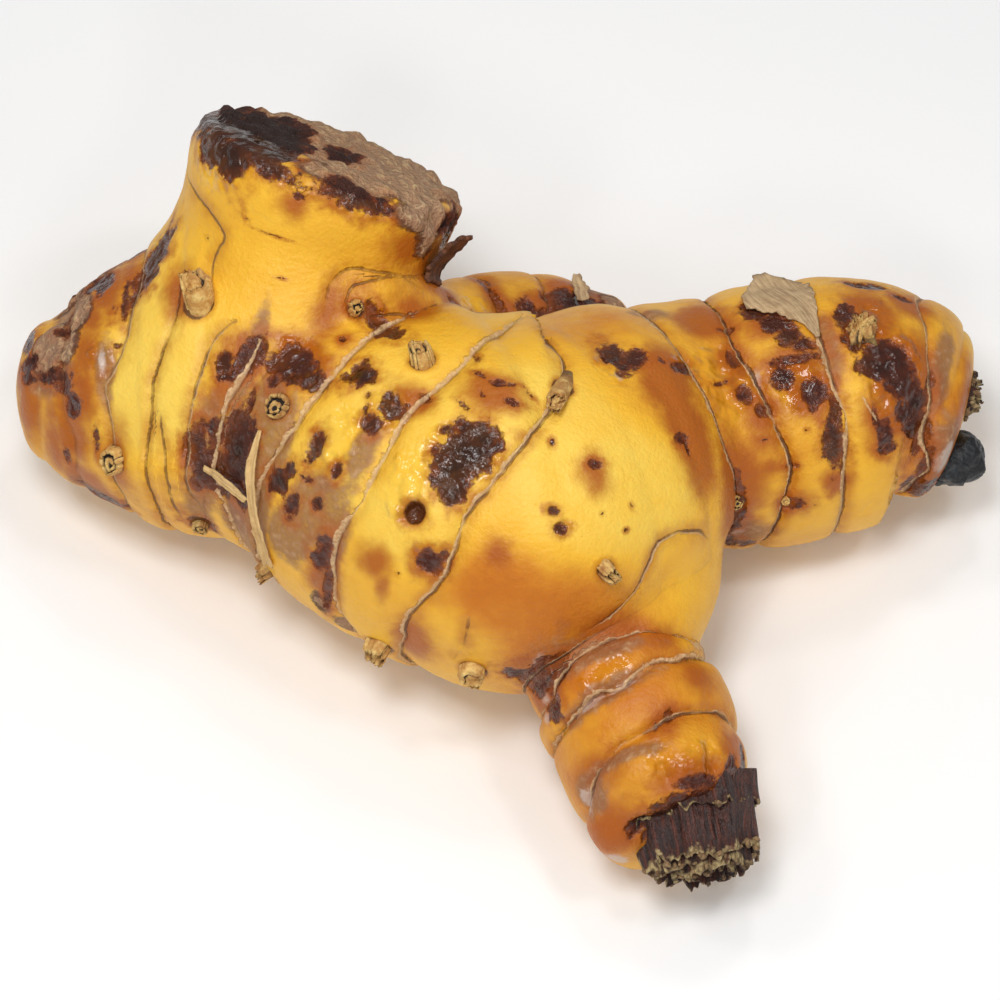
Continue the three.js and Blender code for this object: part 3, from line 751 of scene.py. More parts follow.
# Root stubs, by limb: mm along, degrees round from the top, radius, height, kind, and last, where one doesn't
# stand straight out, its lean towards +X and +Y. Their look: sides and roughness of the bark, cracks, how the
# inner rings curl, swirl and sit off centre, how far they turn at random, and mm of root under the skin.
stubs = {
    "leftLobe": [
        (13.4, 350, 1.8, 3.4, "barked", 0.1, 0.7), (25.6, 291, 1.5, 1, "open"),
        (16.4, 258, 0.95, 0.8, "open"), (22, 110, 1.4, 1.4, "open"),
    ],
    "knob": [(15.2, 45, 0.85, 1.2, "torn", 0, 0.2), (12, 190, 1.5, 1.4, "barked")],
    "core": [
        (14, 28.5, 1.4, 0.9, "open"), (24.8, 353, 1.3, 1.8, "open", 0, 0.2),
        (30.9, 42.5, 1.15, 0.4, "hole"), (40.4, 351, 1.1, 3.8, "barked", -0.5, -1.4),
        (36.5, 97, 1.45, 1.4, "barked"), (40.7, 56, 0.95, 1.7, "torn", 0.2, -0.5),
        (29.8, 104, 1.5, 1.7, "torn"), (16.2, 104, 1.05, 1.5, "torn"),
    ],
    "rightFinger": [
        (40.6, 3, 1.5, 1.5, "shaggy", -0.1, 0.2), (18, 76, 0.9, 0.5, "open"),
        (28.7, 77, 0.5, 0.6, "barked"), (24, 250, 1.4, 1.4, "open"), (38, 275, 1.3, 1.5, "barked"),
    ],
    "backFinger": [(29, 245, 1.2, 1.3, "open")],
}
stubLook = {"sides": 60, "rough": {"torn": 0.32, "shaggy": 0.7}, "barkRough": 0.15, "cracks": 7,
            "crackWide": 0.08, "crackDeep": 0.2, "curl": 0.55, "swirl": 0.16, "offCentre": 0.24,
            "spread": 0.12, "root": 4, "seed": 5}


def stubField():  # mm from the nearest stub's side
    field = np.full(len(points), farOff)
    for limb, along, around, radius, *rest in eachOn(stubs):
        place, out, forward, side = spot(limb, along, around)
        away = points - place
        across = np.linalg.norm(away - np.outer(away @ out, out), axis=1) - radius
        across[(np.abs(away @ out) > stubLook["root"]) | (outward @ out < 0)] = farOff
        field = np.minimum(field, across)
    return field


fields = {kind: markField(kind) for kind in marks}
fields.update({"tint": washField(), "scar": scar, "scarFar": np.abs(scar), "darkLine": darkLine,
               "paleEdge": paleEdge, "stubGap": stubField()})
print("marks placed")

# Lobes and hollows of the skin itself, by limb: mm along, degrees round, half length, half width, mm out
swellings = {
    "leftLobe": [(33.4, 20, 2, 3, -0.4)],
    "knob": [(27.2, 60, 1.4, 5, 0.5), (27.4, 20, 1.2, 3, 0.3)],
    "core": [(29, 66, 2, 2, 0.25), (30.9, 42.5, 3, 3, 0.5), (30.9, 42.5, 1.2, 1.2, -1.6)],
    "rightFinger": [(50.5, 52, 2, 4, 0.6), (51, 20, 2, 4, 0.2)],
    "longFinger": [
        (37, 318, 2.6, 3.4, 1), (36.6, 350, 2.4, 3, 1.1), (36, 25, 2.4, 3.4, 0.9), (39, 80, 3, 2.6, 0.9),
        (37.4, 334, 2, 0.7, -0.8), (37, 8, 2.2, 0.7, -0.8), (40.6, 46, 1.4, 1.6, -1.2),
        (41.6, 350, 2.6, 5, -1.4),
    ],
}

# How many mm each kind of mark stands out or lies in
heights = {"scar": -0.2, "paperEdge": 0.03, "bruiseRim": 0.05, "bruise": -0.16, "cork": 0.1, "pocks": 0.1,
           "stubRim": 0.1, "stubFoot": -0.12}


def step(values, low, high):
    t = np.clip((values - low) / (high - low), 0, 1)
    return t * t * (3 - 2 * t)


def bell(values, middle, width):
    return np.exp(-((values - middle) / width) ** 2)


def skinRelief():  # mm that the skin stands out at each point
    bruised, corky = step(fields["bruise"], -0.1, 0.5), step(fields["cork"], -0.1, 0.6)
    pocked = step(fields["wet"] + coarse, -0.6, 0.8)
    relief = grain(points, skin["lumpSize"]) * skin["lumps"]
    relief += grain(points, skin["dimpleSize"], 4) * skin["dimples"]
    for limb, along, around, half, halfWide, rise in eachOn(swellings):
        major, minor, above, facing = patch(limb, along, around, half, halfWide)
        relief += rise * np.exp(-(major**2 + minor**2)) * (np.abs(above) < markLook["deep"])
    relief += heights["scar"] * darkLine * bell(scar, 0, 0.45)
    relief += heights["paperEdge"] * paleEdge * bell(scar, -0.5, 0.5)
    relief += heights["bruiseRim"] * bell(fields["bruise"], -0.1, 0.35)
    relief += bruised * (heights["bruise"] + 0.16 * fine + 0.12 * rough)
    relief += corky * (heights["cork"] + 0.9 * coarse + 0.35 * rough)
    relief += pocked * heights["pocks"] * grain(points, 1.1, 6)
    relief += heights["stubRim"] * bell(fields["stubGap"], 0.5, 0.6)
    relief += heights["stubFoot"] * bell(fields["stubGap"], 0.1, 0.4)
    return relief


points = insideBox(points + outward * skinRelief()[:, None])
writePoints(skinMesh, points)
for name, values in fields.items():
    addField(skinMesh, name, values.astype(np.float32))
print("skin relief done")


class Signal:  # a number or colour on its way through a material
    def __init__(self, finish, socket):
        self.finish, self.socket = finish, socket

    def __add__(self, other):
        return self.finish.math("ADD", self, other)

    def __sub__(self, other):
        return self.finish.math("SUBTRACT", self, other)

    def __rsub__(self, other):
        return self.finish.math("SUBTRACT", other, self)

    def __mul__(self, other):
        return self.finish.math("MULTIPLY", self, other)

    def __abs__(self):
        return self.finish.math("ABSOLUTE", self)

    __radd__, __rmul__ = __add__, __mul__


class Finish:  # a material while it is wired up
    def __init__(self, name, **sockets):
        self.material = bpy.data.materials.new(name)
        self.material.use_nodes = True
        self.tree = self.material.node_tree
        self.shader = self.tree.nodes["Principled BSDF"]
        for socket, value in sockets.items():
            self.shader.inputs[socket.replace("_", " ")].default_value = value
        self.place = self.node("TexCoord", {}, {}, "Object")

    def math(self, operation, a, b=0.0):
        return self.node("Math", {"operation": operation}, {0: a, 1: b})

    def node(self, kind, settings, sockets, output=0):
        made = self.tree.nodes.new("ShaderNode" + kind)
        for name, value in settings.items():
            setattr(made, name, value)
        for name, value in sockets.items():
            self.feed(made.inputs[name], value)
        return Signal(self, made.outputs[output])

    def feed(self, socket, value):
        if isinstance(value, Signal):
            self.tree.links.new(value.socket, socket)
        else:
            socket.default_value = value

    def attribute(self, name):
        return self.node("Attribute", {"attribute_name": name}, {}, "Fac")

    def noise(self, size, detail=2.0, roughness=0.5, distortion=0.0):  # about -1 to 1, size in mm
        sockets = {"Vector": self.place, "Scale": 1000 / size, "Detail": detail, "Roughness": roughness}
        return self.node("TexNoise", {}, {**sockets, "Distortion": distortion}) * 2 - 1

    def step(self, value, low, high):
        settings = {"interpolation_type": "SMOOTHSTEP"}
        return self.node("MapRange", settings, {0: value, 1: low, 2: high, 3: 0.0, 4: 1.0})

    def mix(self, below, above, share, blend="MIX"):
        settings = {"data_type": "RGBA", "blend_type": blend}
        return self.node("Mix", settings, {0: share, 6: below, 7: above}, 2)

    def finished(self, colour, roughness, height, strength, depth):  # depth of the fine relief in metres
        self.feed(self.shader.inputs["Base Color"], colour)
        self.feed(self.shader.inputs["Roughness"], roughness)
        bump = self.node("Bump", {}, {"Strength": strength, "Distance": depth, "Height": height})
        self.feed(self.shader.inputs["Normal"], bump)
        return self.material


def paint(red, green, blue):  # the usual 0 to 255 colour, as the shader wants it
    linear = [((c / 255 + 0.055) / 1.055) ** 2.4 if c > 10 else c / 3295 for c in (red, green, blue)]
    return (*linear, 1.0)


skinPaint = {
    "pale": paint(246, 208, 88), "yellow": paint(240, 182, 46), "orange": paint(200, 116, 16),
    "amber": paint(168, 84, 12), "rust": paint(110, 50, 22), "maroon": paint(64, 27, 20),
    "black": paint(26, 15, 17), "tan": paint(206, 164, 118), "film": paint(140, 94, 62),
    "wax": paint(206, 190, 178), "paper": paint(226, 190, 142), "cork": paint(160, 124, 98),
    "corkPale": paint(208, 176, 134), "corkDark": paint(88, 56, 40), "line": paint(80, 42, 20),
}


def makeSkinFinish():
    finish = Finish("galangalSkin", Subsurface_Weight=0.06, Subsurface_Scale=0.0012, Specular_IOR_Level=0.38)
    broad, patchy, small = finish.noise(7), finish.noise(2.4, 3), finish.noise(0.9, 3)
    crisp, dust = finish.noise(0.45, 3), finish.noise(0.2)
    # the ground, from pale yellow to amber: partly the skin's own tone, partly painted light, with orange on
    # the lower sides as painted shade and pale on top as painted highlight
    tint = finish.attribute("tint") + broad * 0.4 + patchy * 0.15 + small * 0.1
    colour = finish.mix(skinPaint["pale"], skinPaint["yellow"], finish.step(tint, -0.8, 0.1))
    colour = finish.mix(colour, skinPaint["orange"], finish.step(tint, -0.1, 1.0))
    colour = finish.mix(colour, skinPaint["amber"], finish.step(tint, 0.6, 1.7) * 0.8)
    # stains, flecks and specks
    stain = finish.attribute("stain") + patchy * 0.9 + small * 0.3
    colour = finish.mix(colour, skinPaint["amber"], finish.step(stain, -1.6, 1.2) * 0.92)
    fleck = finish.step(crisp + patchy * 0.5, 0.54, 0.8) * finish.step(broad + tint * 0.3, -0.3, 0.3)
    colour = finish.mix(colour, skinPaint["amber"], fleck * 0.6)
    speck = finish.step(finish.noise(0.6, 1) + patchy * 0.35, 0.78, 0.88)
    colour = finish.mix(colour, skinPaint["rust"], speck * 0.8)

    # dried outer skin, then whitish patches that are in places a pale bloom and in places painted glints of
    # light
    film = finish.attribute("film") + patchy * 0.9 + small * 0.35
    veil = finish.step(film, -1.0, 0.3) * (0.85 + small * 0.2 + crisp * 0.15)
    dried = finish.mix(skinPaint["film"], skinPaint["tan"], finish.step(small, -0.2, 0.9))
    colour = finish.mix(colour, dried, veil)
    wax = finish.step(finish.attribute("wax") + patchy * 0.5 + crisp * 0.4, -0.1, 0.5)
    colour = finish.mix(colour, skinPaint["wax"], wax * 0.7)

    # cork with a dark rim
    cork = finish.attribute("cork") + crisp * 0.3
    corky = finish.step(cork, 0.0, 0.3)
    bark = finish.mix(skinPaint["cork"], skinPaint["corkPale"], finish.step(small + crisp * 0.4, -0.1, 0.7))
    bark = finish.mix(bark, skinPaint["corkDark"], finish.step(patchy * 0.8 + crisp * 0.6, 0.15, 0.75))
    colour = finish.mix(colour, bark, corky * 0.95)
    rim = (1 - finish.step(abs(cork - 0.1 + small * 0.2), 0.1, 0.4)) * finish.step(patchy, -0.6, 0.1)
    colour = finish.mix(colour, skinPaint["maroon"], rim * 0.8)

    # bruises with an amber fringe
    bruise = finish.attribute("bruise") + crisp * 0.4 + dust * 0.15 + patchy * 0.3
    dark = finish.step(bruise, -0.12, 0.3)
    fringe = finish.step(bruise + patchy * 0.4, -1.5, 0.0) * (1 - corky * 0.6)
    colour = finish.mix(colour, skinPaint["amber"], fringe * finish.step(patchy, -0.6, 0.5) * 0.9)
    flesh = finish.mix(skinPaint["rust"], skinPaint["maroon"], finish.step(bruise + small * 1.2, -0.1, 0.9))
    flesh = finish.mix(flesh, skinPaint["black"], finish.step(bruise * 0.5 + patchy * 1.8, 0.5, 1.5) * 0.8)
    flesh = finish.mix(flesh, skinPaint["amber"], finish.step(small * 0.9 + patchy * -1.1, 0.35, 0.9) * 0.75)
    colour = finish.mix(colour, flesh, dark * 0.96)

    # scars: a broken dark line with the old leaf's papery edge along it, and an amber band beside the line
    # that is partly the skin's tone and partly painted shade of the groove
    scar, scarFar = finish.attribute("scar"), finish.attribute("scarFar")
    gap = scar + small * 0.22 + patchy * 0.16
    halfWay = finish.step(scarFar - abs(scar), 0.4, 0.6)  # the sign flips between two scars; none is there
    close = (1 - finish.step(scarFar, 1.6, 2.2)) * (1 - halfWay)
    darkLine, paleEdge = finish.attribute("darkLine") * close, finish.attribute("paleEdge") * close
    beside = 1 - finish.step(abs(gap), 0.1, 1.9)
    colour = finish.mix(colour, skinPaint["amber"], beside * darkLine * finish.step(patchy, -0.7, 0.6) * 0.8)
    wide = paleEdge * (patchy * 0.6 + broad * 0.4 + 0.6) + crisp * 0.08
    edge = finish.step(gap + wide, 0.0, 0.16) * (1 - finish.step(gap, -0.12, 0.02))
    edge = edge * finish.step(wide, 0.08, 0.25)
    thread = finish.step(crisp + small * 0.5, -0.5, 0.5)
    paper = finish.mix(skinPaint["film"], skinPaint["paper"], thread * 0.5 + 0.5)
    colour = finish.mix(colour, paper, edge * (0.78 + small * 0.2))
    broken = finish.step(broad + patchy * 0.8 + crisp * 0.3, -0.5, 0.2)
    line = (1 - finish.step(abs(gap) + patchy * 0.06, 0.05, 0.24)) * darkLine * broken
    frayed = finish.step(crisp * 0.4 - patchy, -0.2, 0.4)
    outer = (1 - finish.step(abs(gap + wide), 0.02, 0.12)) * paleEdge * frayed
    colour = finish.mix(colour, skinPaint["line"], finish.math("MAXIMUM", line * 0.9, outer * 0.6))

    # the foot of each root stub: an amber ring, and close in a dark line that is painted shade where the stub
    # meets the skin
    foot = finish.attribute("stubGap")
    colour = finish.mix(colour, skinPaint["amber"], (1 - finish.step(foot + small * 0.4, 0.0, 1.0)) * 0.5)
    colour = finish.mix(colour, skinPaint["line"], (1 - finish.step(foot + small * 0.3, 0.0, 0.25)) * 0.85)

    # gloss and fine relief
    wet = finish.step(finish.attribute("wet") + patchy * 1.2, -0.5, 0.5)
    gloss = finish.math("MAXIMUM", wet, dark * finish.step(patchy + small * 0.4, -0.7, 0.2)) * (1 - corky)
    roughness = 0.45 + small * 0.06 + corky * 0.4 + edge * 0.3 + veil * 0.15 - gloss * 0.32
    height = small * 0.1 + crisp * 0.08 + dust * 0.03 + edge * thread * 0.1
    height = height + corky * (small * 0.5 + crisp * 0.2)
    height = (height + dark * (small * 0.5 + crisp * 0.3)) * (1 - gloss * 0.85) - line * 0.4 - dark * 0.25
    height = height + gloss * (finish.noise(1.6, 0) * 0.7 + finish.noise(0.8, 0) * 0.25)
    return finish.finished(colour, roughness, height, 1.0, 0.0005)


skinMesh.materials.clear()
skinMesh.materials.append(makeSkinFinish())
finishPiece(linked("rhizomeSkin", skinMesh), "skin", "rhizome")
print("skin finished")

# One ring of each stub shape after another, from the foot up and in: radius, height, how deep in a crack or
# hollow, which darkens the bark as painted shade together with dark inner tissue
stubShapes = {
    "barked": [(1.15, -0.7, 0.6), (1.04, -0.05, 0.4), (1, 0.3, 0), (0.98, 0.6, 0), (0.95, 0.85, 0),
        (0.82, 1, 0), (0.68, 0.97, 0.1), (0.6, 0.72, 1), (0.5, 0.94, 0.3), (0.3, 1.02, 0),
        (0.1, 0.98, 0.2)],
    "hole": [(1.3, -0.9, 0.6), (1.12, -0.1, 0.2), (1.02, 0.3, 0), (0.86, 0.4, 0.1), (0.74, 0.1, 0.8),
        (0.62, -0.6, 1), (0.36, -0.7, 1), (0.28, -0.1, 1), (0.1, 0, 1)],
    "open": [(1.15, -0.7, 0.6), (1.03, -0.05, 0.4), (1, 0.4, 0), (0.96, 0.85, 0), (0.86, 1, 0),
        (0.76, 0.9, 0.3), (0.7, 0.4, 1), (0.52, 0.3, 1), (0.46, 0.8, 0.4), (0.32, 0.9, 0),
        (0.2, 0.6, 0.8), (0.06, 0.6, 0.9)],
    "torn": [(1.2, -0.7, 0.6), (1.05, -0.05, 0.4), (0.98, 0.4, 0), (0.95, 0.75, 0), (0.82, 0.95, 0),
        (0.68, 0.9, 0.3), (0.58, 0.4, 1), (0.42, 0.5, 0.9), (0.34, 0.85, 0), (0.16, 0.9, 0.2)],
    "shaggy": [(1.2, -0.7, 0.6), (1, -0.05, 0.6), (1.05, 0.3, 0), (1, 0.6, 0), (0.9, 0.85, 0),
        (0.74, 0.7, 0.5), (0.66, 0.9, 0), (0.5, 0.6, 0.6), (0.4, 0.95, 0), (0.2, 0.8, 0.3)],
}


def stubShape(kind, seed):
    profile, sides = stubShapes[kind], stubLook["sides"]
    rough = stubLook["rough"].get(kind, stubLook["barkRough"])
    off = stubLook["offCentre"]
    random.seed(seed + stubLook["seed"])
    splits = [random.uniform(0, 2 * math.pi) for _ in range(stubLook["cracks"])]
    corners, faces, crackShade = [], [], []
    for row, (radius, tall, deep) in enumerate(profile):
        for k in range(sides):
            turn = 2 * math.pi * k / sides
            here = Vector((math.cos(turn) * 1.6, math.sin(turn) * 1.6, row * 0.2 + seed * 9))
            nearest = min(abs(math.remainder(turn - at, 2 * math.pi)) for at in splits)
            split = math.exp(-(nearest / stubLook["crackWide"]) ** 2)
            split *= 1 if radius > 0.75 else 0.2
            lumps = rough * (noise.noise(here) + 0.6 * noise.noise(here * 2.7))
            r = radius * (1 + lumps - 0.12 * split)
            if 0.2 < radius < 0.8:
                r += stubLook["swirl"] * (turn / (2 * math.pi) - 0.5) + 0.3 * radius * noise.noise(here * 1.3)
            curl = stubLook["curl"] * (turn / (2 * math.pi) - 0.5) if radius < 0.9 and tall > 0.2 else 0
            z = tall + max(tall, 0) * (rough * 1.2 * noise.noise(here * 1.7) + curl)
            z -= split * stubLook["crackDeep"]
            lean = off * max(0, 1 - radius)
            corners.append((r * math.cos(turn) + lean, r * math.sin(turn) - lean, z))
            crackShade.append(max(deep, split * 0.75))
            if row:
                a, b = (row - 1) * sides + k, (row - 1) * sides + (k + 1) % sides
                faces.append((a, b, b + sides, a + sides))
    corners += [(off, -off, profile[-1][1]), (0, 0, profile[0][1])]
    crackShade += [profile[-1][2], 0]
    top, last = len(corners) - 2, (len(profile) - 1) * sides
    faces += [(last + k, last + (k + 1) % sides, top) for k in range(sides)]
    faces += [((k + 1) % sides, k, top + 1) for k in range(sides)]
    mesh = bpy.data.meshes.new(kind)
    mesh.from_pydata(corners, [], faces)
    addField(mesh, "crackShade", crackShade)
    return bpy.data.objects.new(kind, mesh)


def nodeTree(name, inputs):  # a geometry tree with named inputs, what adds nodes to it, and its input sockets
    tree = bpy.data.node_groups.new(name, "GeometryNodeTree")
    tree.interface.new_socket("Geometry", in_out="INPUT", socket_type="NodeSocketGeometry")
    tree.interface.new_socket("Geometry", in_out="OUTPUT", socket_type="NodeSocketGeometry")
    for title, kind in inputs.items():
        tree.interface.new_socket(title, in_out="INPUT", socket_type="NodeSocket" + kind)

    def add(kind, settings=None, sockets=None):
        made = tree.nodes.new(kind)
        for key, value in (settings or {}).items():
            setattr(made, key, value)
        for key, value in (sockets or {}).items():
            if isinstance(value, bpy.types.NodeSocket):
                tree.links.new(value, made.inputs[key])
            else:
                made.inputs[key].default_value = value
        return made

    return tree, add, add("NodeGroupInput").outputs


def dress(tree, add, placed, finish):  # makes instances real, gives them their material and ends the tree
    real = add("GeometryNodeRealizeInstances", {}, {"Geometry": placed.outputs[0]})
    dressed = add("GeometryNodeSetMaterial", {}, {"Geometry": real.outputs[0], "Material": finish})
    tree.links.new(dressed.outputs[0], add("NodeGroupOutput").inputs[0])


def named(add, name, kind):
    return add("GeometryNodeInputNamedAttribute", {"data_type": kind}, {"Name": name}).outputs["Attribute"]


def stubTree():
    inputs = {"Shapes": "Collection", "Spread": "Float", "Finish": "Material", "Seed": "Int"}
    tree, add, start = nodeTree("rootStubs", inputs)
    shapes = add("GeometryNodeCollectionInfo", {}, {
        "Collection": start["Shapes"], "Separate Children": True, "Reset Children": True})
    jitter = add("FunctionNodeRandomValue", {"data_type": "FLOAT_VECTOR"}, {
        "Min": (-1, -1, -1), "Max": (1, 1, 1), "Seed": start["Seed"]})
    swing = add("ShaderNodeVectorMath", {"operation": "SCALE"}, {
        0: jitter.outputs["Value"], "Scale": start["Spread"]})
    turn = add("ShaderNodeVectorMath", {"operation": "ADD"}, {
        0: named(add, "turn", "FLOAT_VECTOR"), 1: swing.outputs[0]})
    placed = add("GeometryNodeInstanceOnPoints", {}, {
        "Points": start["Geometry"], "Instance": shapes.outputs[0], "Pick Instance": True,
        "Instance Index": named(add, "kind", "INT"), "Rotation": turn.outputs[0],
        "Scale": named(add, "size", "FLOAT_VECTOR")})
    dress(tree, add, placed, start["Finish"])
    return tree


def grown(obj, tree, values):  # runs a tree on an object and returns the result as a plain mesh
    modifier = obj.modifiers.new(tree.name, "NODES")
    modifier.node_group = tree
    for item in tree.interface.items_tree:
        if item.in_out == "INPUT" and item.name in values:
            modifier[item.identifier] = values[item.name]
    return plainMesh(obj)


def makeBark():
    finish = Finish("rootBark")
    broad, patchy = finish.noise(14), finish.noise(1.2, 3)
    small, dust = finish.noise(0.5, 3), finish.noise(0.2)
    crackShade = finish.attribute("crackShade")
    bark = finish.mix(paint(198, 146, 74), paint(168, 116, 62), finish.step(broad, -0.3, 0.3))
    colour = finish.mix(bark, paint(240, 206, 128), finish.step(patchy + small * 0.7, -0.4, 0.8))
    colour = finish.mix(colour, paint(110, 78, 46), finish.step(small + dust * 0.5, 0.2, 0.7) * 0.6)
    # dark down in cracks and hollows: painted shade, together with the dark inner tissue
    colour = finish.mix(colour, paint(34, 20, 12), finish.step(crackShade + small * 0.3, 0.35, 0.85))
    return finish.finished(colour, 0.75 + small * 0.1, small * 0.5 + dust * 0.3, 0.9, 0.0002)


def makeStubs():
    shapes = bpy.data.collections.new("stubShapes")
    order = sorted(stubShapes)
    for number, kind in enumerate(order):
        shapes.objects.link(stubShape(kind, number))
    feet, turns, sizes, kinds = [], [], [], []
    for limb, along, around, radius, tall, kind, *lean in eachOn(stubs):
        place, out, forward, side = spot(limb, along, around)
        upright = Vector(out) + Vector((*(lean or (0, 0)), 0))
        feet.append(tuple(place * mm))
        turns.append(tuple(upright.to_track_quat("Z", "Y").to_euler()))
        sizes.append((radius * mm, radius * mm, tall * mm))
        kinds.append(order.index(kind))
    mesh = bpy.data.meshes.new("stubFeet")
    mesh.from_pydata(feet, [], [])
    addField(mesh, "turn", turns, "FLOAT_VECTOR")
    addField(mesh, "size", sizes, "FLOAT_VECTOR")
    addField(mesh, "kind", kinds, "INT")
    values = {"Shapes": shapes, "Spread": stubLook["spread"], "Finish": makeBark(), "Seed": stubLook["seed"]}
    done = grown(linked("stubFeet", mesh), stubTree(), values)
    for shape in list(shapes.objects):
        bpy.data.objects.remove(shape)
    bpy.data.collections.remove(shapes)
    finishPiece(linked("rootStubs", done), "husk")


makeStubs()
print("root stubs grown")


def closedSheet(name, middle, thick):  # a thin closed sheet about a grid of points
    rows, columns = middle.shape[:2]
    along, across = np.gradient(middle, axis=0), np.gradient(middle, axis=1)
    out = np.cross(along, across)
    out /= np.linalg.norm(out, axis=2)[..., None]
    both = np.concatenate([middle + out * thick / 2, middle - out * thick / 2]).reshape(-1, 3)
    half = rows * columns
    faces = []
    for i in range(rows - 1):
        for j in range(columns - 1):
            a = i * columns + j
            faces.append((a, a + columns, a + columns + 1, a + 1))
            faces.append((a + half, a + half + 1, a + half + columns + 1, a + half + columns))
    rim = list(range(columns)) + list(range(2 * columns - 1, half, columns))
    rim += list(range(half - 2, half - columns - 1, -1)) + list(range(half - 2 * columns, 0, -columns))
    faces += [(a, b, b + half, a + half) for a, b in zip(rim, rim[1:] + rim[:1])]
    mesh = bpy.data.meshes.new(name)
    mesh.from_pydata([tuple(corner * mm) for corner in both], [], faces)
    outwards(mesh)
    return mesh


def laidOnSkin(sheet, air):  # lifts whatever would sink into the skin
    flat = sheet.reshape(-1, 3)
    nearest = [tree.find(corner)[1] for corner in flat]
    away = ((flat - points[nearest]) * outward[nearest]).sum(1)
    return (flat + outward[nearest] * np.clip(air - away, 0, None)[:, None]).reshape(sheet.shape)


# Dry leaf remains. line: mm along, degrees round, mm of air under it. curl lifts the long edges and ragged is
# how far they stray.
papers = {
    "fibre_long": {
        "limb": "core", "curl": 0.5, "thick": 0.22, "ragged": 0.15,
        "slot": "dry_leaf", "leaf": "strawFibre",
        "line": [(12.9, 39, 0.8), (13.7, 52, 1.6), (15.1, 66, 1.3), (16.7, 80, 0.9), (17.7, 92, 0.7)],
        "widths": [0.3, 1.1, 1, 1.2, 1.3],
    },
    "fibre_short": {
        "limb": "core", "curl": 0.4, "thick": 0.3, "ragged": 0.08,
        "slot": "dry_leaf", "leaf": "strawFibre",
        "line": [(6.1, 61, 0.7), (8.2, 62, 1.2), (10.6, 64, 1.3), (13.2, 67.5, 0.9)],
        "widths": [0.5, 1.1, 1, 0.5],
    },
    "scale_top": {
        "limb": "rightFinger", "curl": 0.04, "thick": 0.25, "ragged": 0.12,
        "slot": "dry_leaf", "leaf": "greyScale",
        "line": [(35.2, 363, 0.2), (34.6, 353, 0.2), (33.6, 342, 0.2), (32.2, 331, 0.3), (31.4, 318, 1.6)],
        "widths": [0.4, 2.6, 6, 8.4, 1.6],
    },
    "scale_left": {
        "limb": "leftLobe", "curl": 0.3, "thick": 0.25, "ragged": 0.3,
        "slot": "dry_leaf", "leaf": "greyScale",
        "line": [(17.8, 40, 0.7), (19.2, 43, 1.1), (20.6, 46, 1.7)], "widths": [2.4, 2.4, 1],
    },
    "scale_back": {
        "limb": "backFinger", "curl": 0.3, "thick": 0.25, "ragged": 0.3,
        "slot": "dry_leaf", "leaf": "greyScale",
        "line": [(35, 346, 0.5), (34.6, 332, 0.6), (34, 319, 1.3)], "widths": [1.3, 1.7, 0.8],
    },
    "torn_skin": {
        "limb": "knob", "curl": 0.2, "thick": 0.5, "ragged": 0.3,
        "slot": "husk", "leaf": "brownHusk",
        "line": [(26.6, 92, 3), (25, 90, 1.6), (22, 86, 1), (18.8, 80, 1.6)], "widths": [1.2, 3.6, 4, 2.6],
    },
}


paperLook = {"rows": 44, "columns": 9, "air": 0.3, "waves": 0.12, "narrowest": 0.2}


def makeDryLeaf(name, light, dark):
    finish = Finish(name)
    lengthwise = finish.node("Attribute", {"attribute_name": "grainLine"}, {}, "Vector")
    fibres = finish.node("TexNoise", {}, {"Vector": lengthwise, "Scale": 1.0, "Detail": 4.0}) * 2 - 1
    small, dust = finish.noise(0.8, 3), finish.noise(0.25)
    colour = finish.mix(dark, light, finish.step(fibres * 1.4 + small * 0.6, -0.8, 0.7))
    colour = finish.mix(colour, paint(92, 66, 44), finish.step(small + dust * 0.5, 0.45, 0.9) * 0.6)
    return finish.finished(colour, 0.8, fibres * 0.6 + dust * 0.2, 0.9, 0.0002)


leafFinishes = {
    "strawFibre": makeDryLeaf("strawFibre", paint(226, 190, 130), paint(186, 146, 92)),
    "greyScale": makeDryLeaf("greyScale", paint(206, 176, 134), paint(160, 128, 92)),
    "brownHusk": makeDryLeaf("brownHusk", paint(120, 74, 46), paint(58, 32, 24)),
}


def makePaper(name, paper, finish):
    rows, columns = paperLook["rows"], paperLook["columns"]
    t, u = np.linspace(0, 1, rows), np.linspace(-1, 1, columns)
    along, around, air = curveThrough(paper["line"], t).T
    place, out, forward = onLimb(paper["limb"], along, around, air)
    way = np.gradient(place, axis=0)
    run = np.concatenate([[0], np.cumsum(np.linalg.norm(np.diff(place, axis=0), axis=1))])
    way /= np.linalg.norm(way, axis=1)[:, None]
    side = np.cross(way, out)
    half = np.maximum(curveThrough([(w,) for w in paper["widths"]], t)[:, 0], paperLook["narrowest"]) / 2
    seed = sum(map(ord, name))
    tear = np.array([[noise.noise(Vector((at * 1.3, edge * 3.0, seed))) for edge in (0, 1)] for at in run])
    reach = 1 + np.where(u[None] < 0, tear[:, :1], tear[:, 1:]) * paper["ragged"] * 2
    across = u[None] * half[:, None] * reach
    lift = paper["curl"] * (u[None] ** 2) * half[:, None]
    waves = [[noise.noise(Vector((at * 0.9, v * 1.5, seed + 4))) for v in u] for at in run]
    lift = lift + paperLook["waves"] * np.array(waves)
    middle = place[:, None] + side[:, None] * across[..., None] + out[:, None] * lift[..., None]
    atEnds = (t < 0.01) | (t > 0.99)  # both ends are torn too
    middle += way[:, None] * atEnds[:, None, None] * tear[:, :1, None]
    thick = np.minimum(paper["thick"], 0.25 + half * 0.3)[:, None, None]  # thinner where it is narrow
    mesh = closedSheet(name + "Sheet", laidOnSkin(middle, paperLook["air"]), thick)
    grainLine = np.stack(np.broadcast_arrays(across * 3.2, run[:, None] * 0.35, seed * 0.1), axis=2)
    grainLine = grainLine.reshape(-1, 3)
    addField(mesh, "grainLine", np.concatenate([grainLine, grainLine]), "FLOAT_VECTOR")
    mesh.materials.append(finish)
    finishPiece(linked(name + "Sheet", mesh), paper["slot"], name)


for name, paper in papers.items():
    makePaper(name, paper, leafFinishes[paper["leaf"]])
print("dry leaves laid")

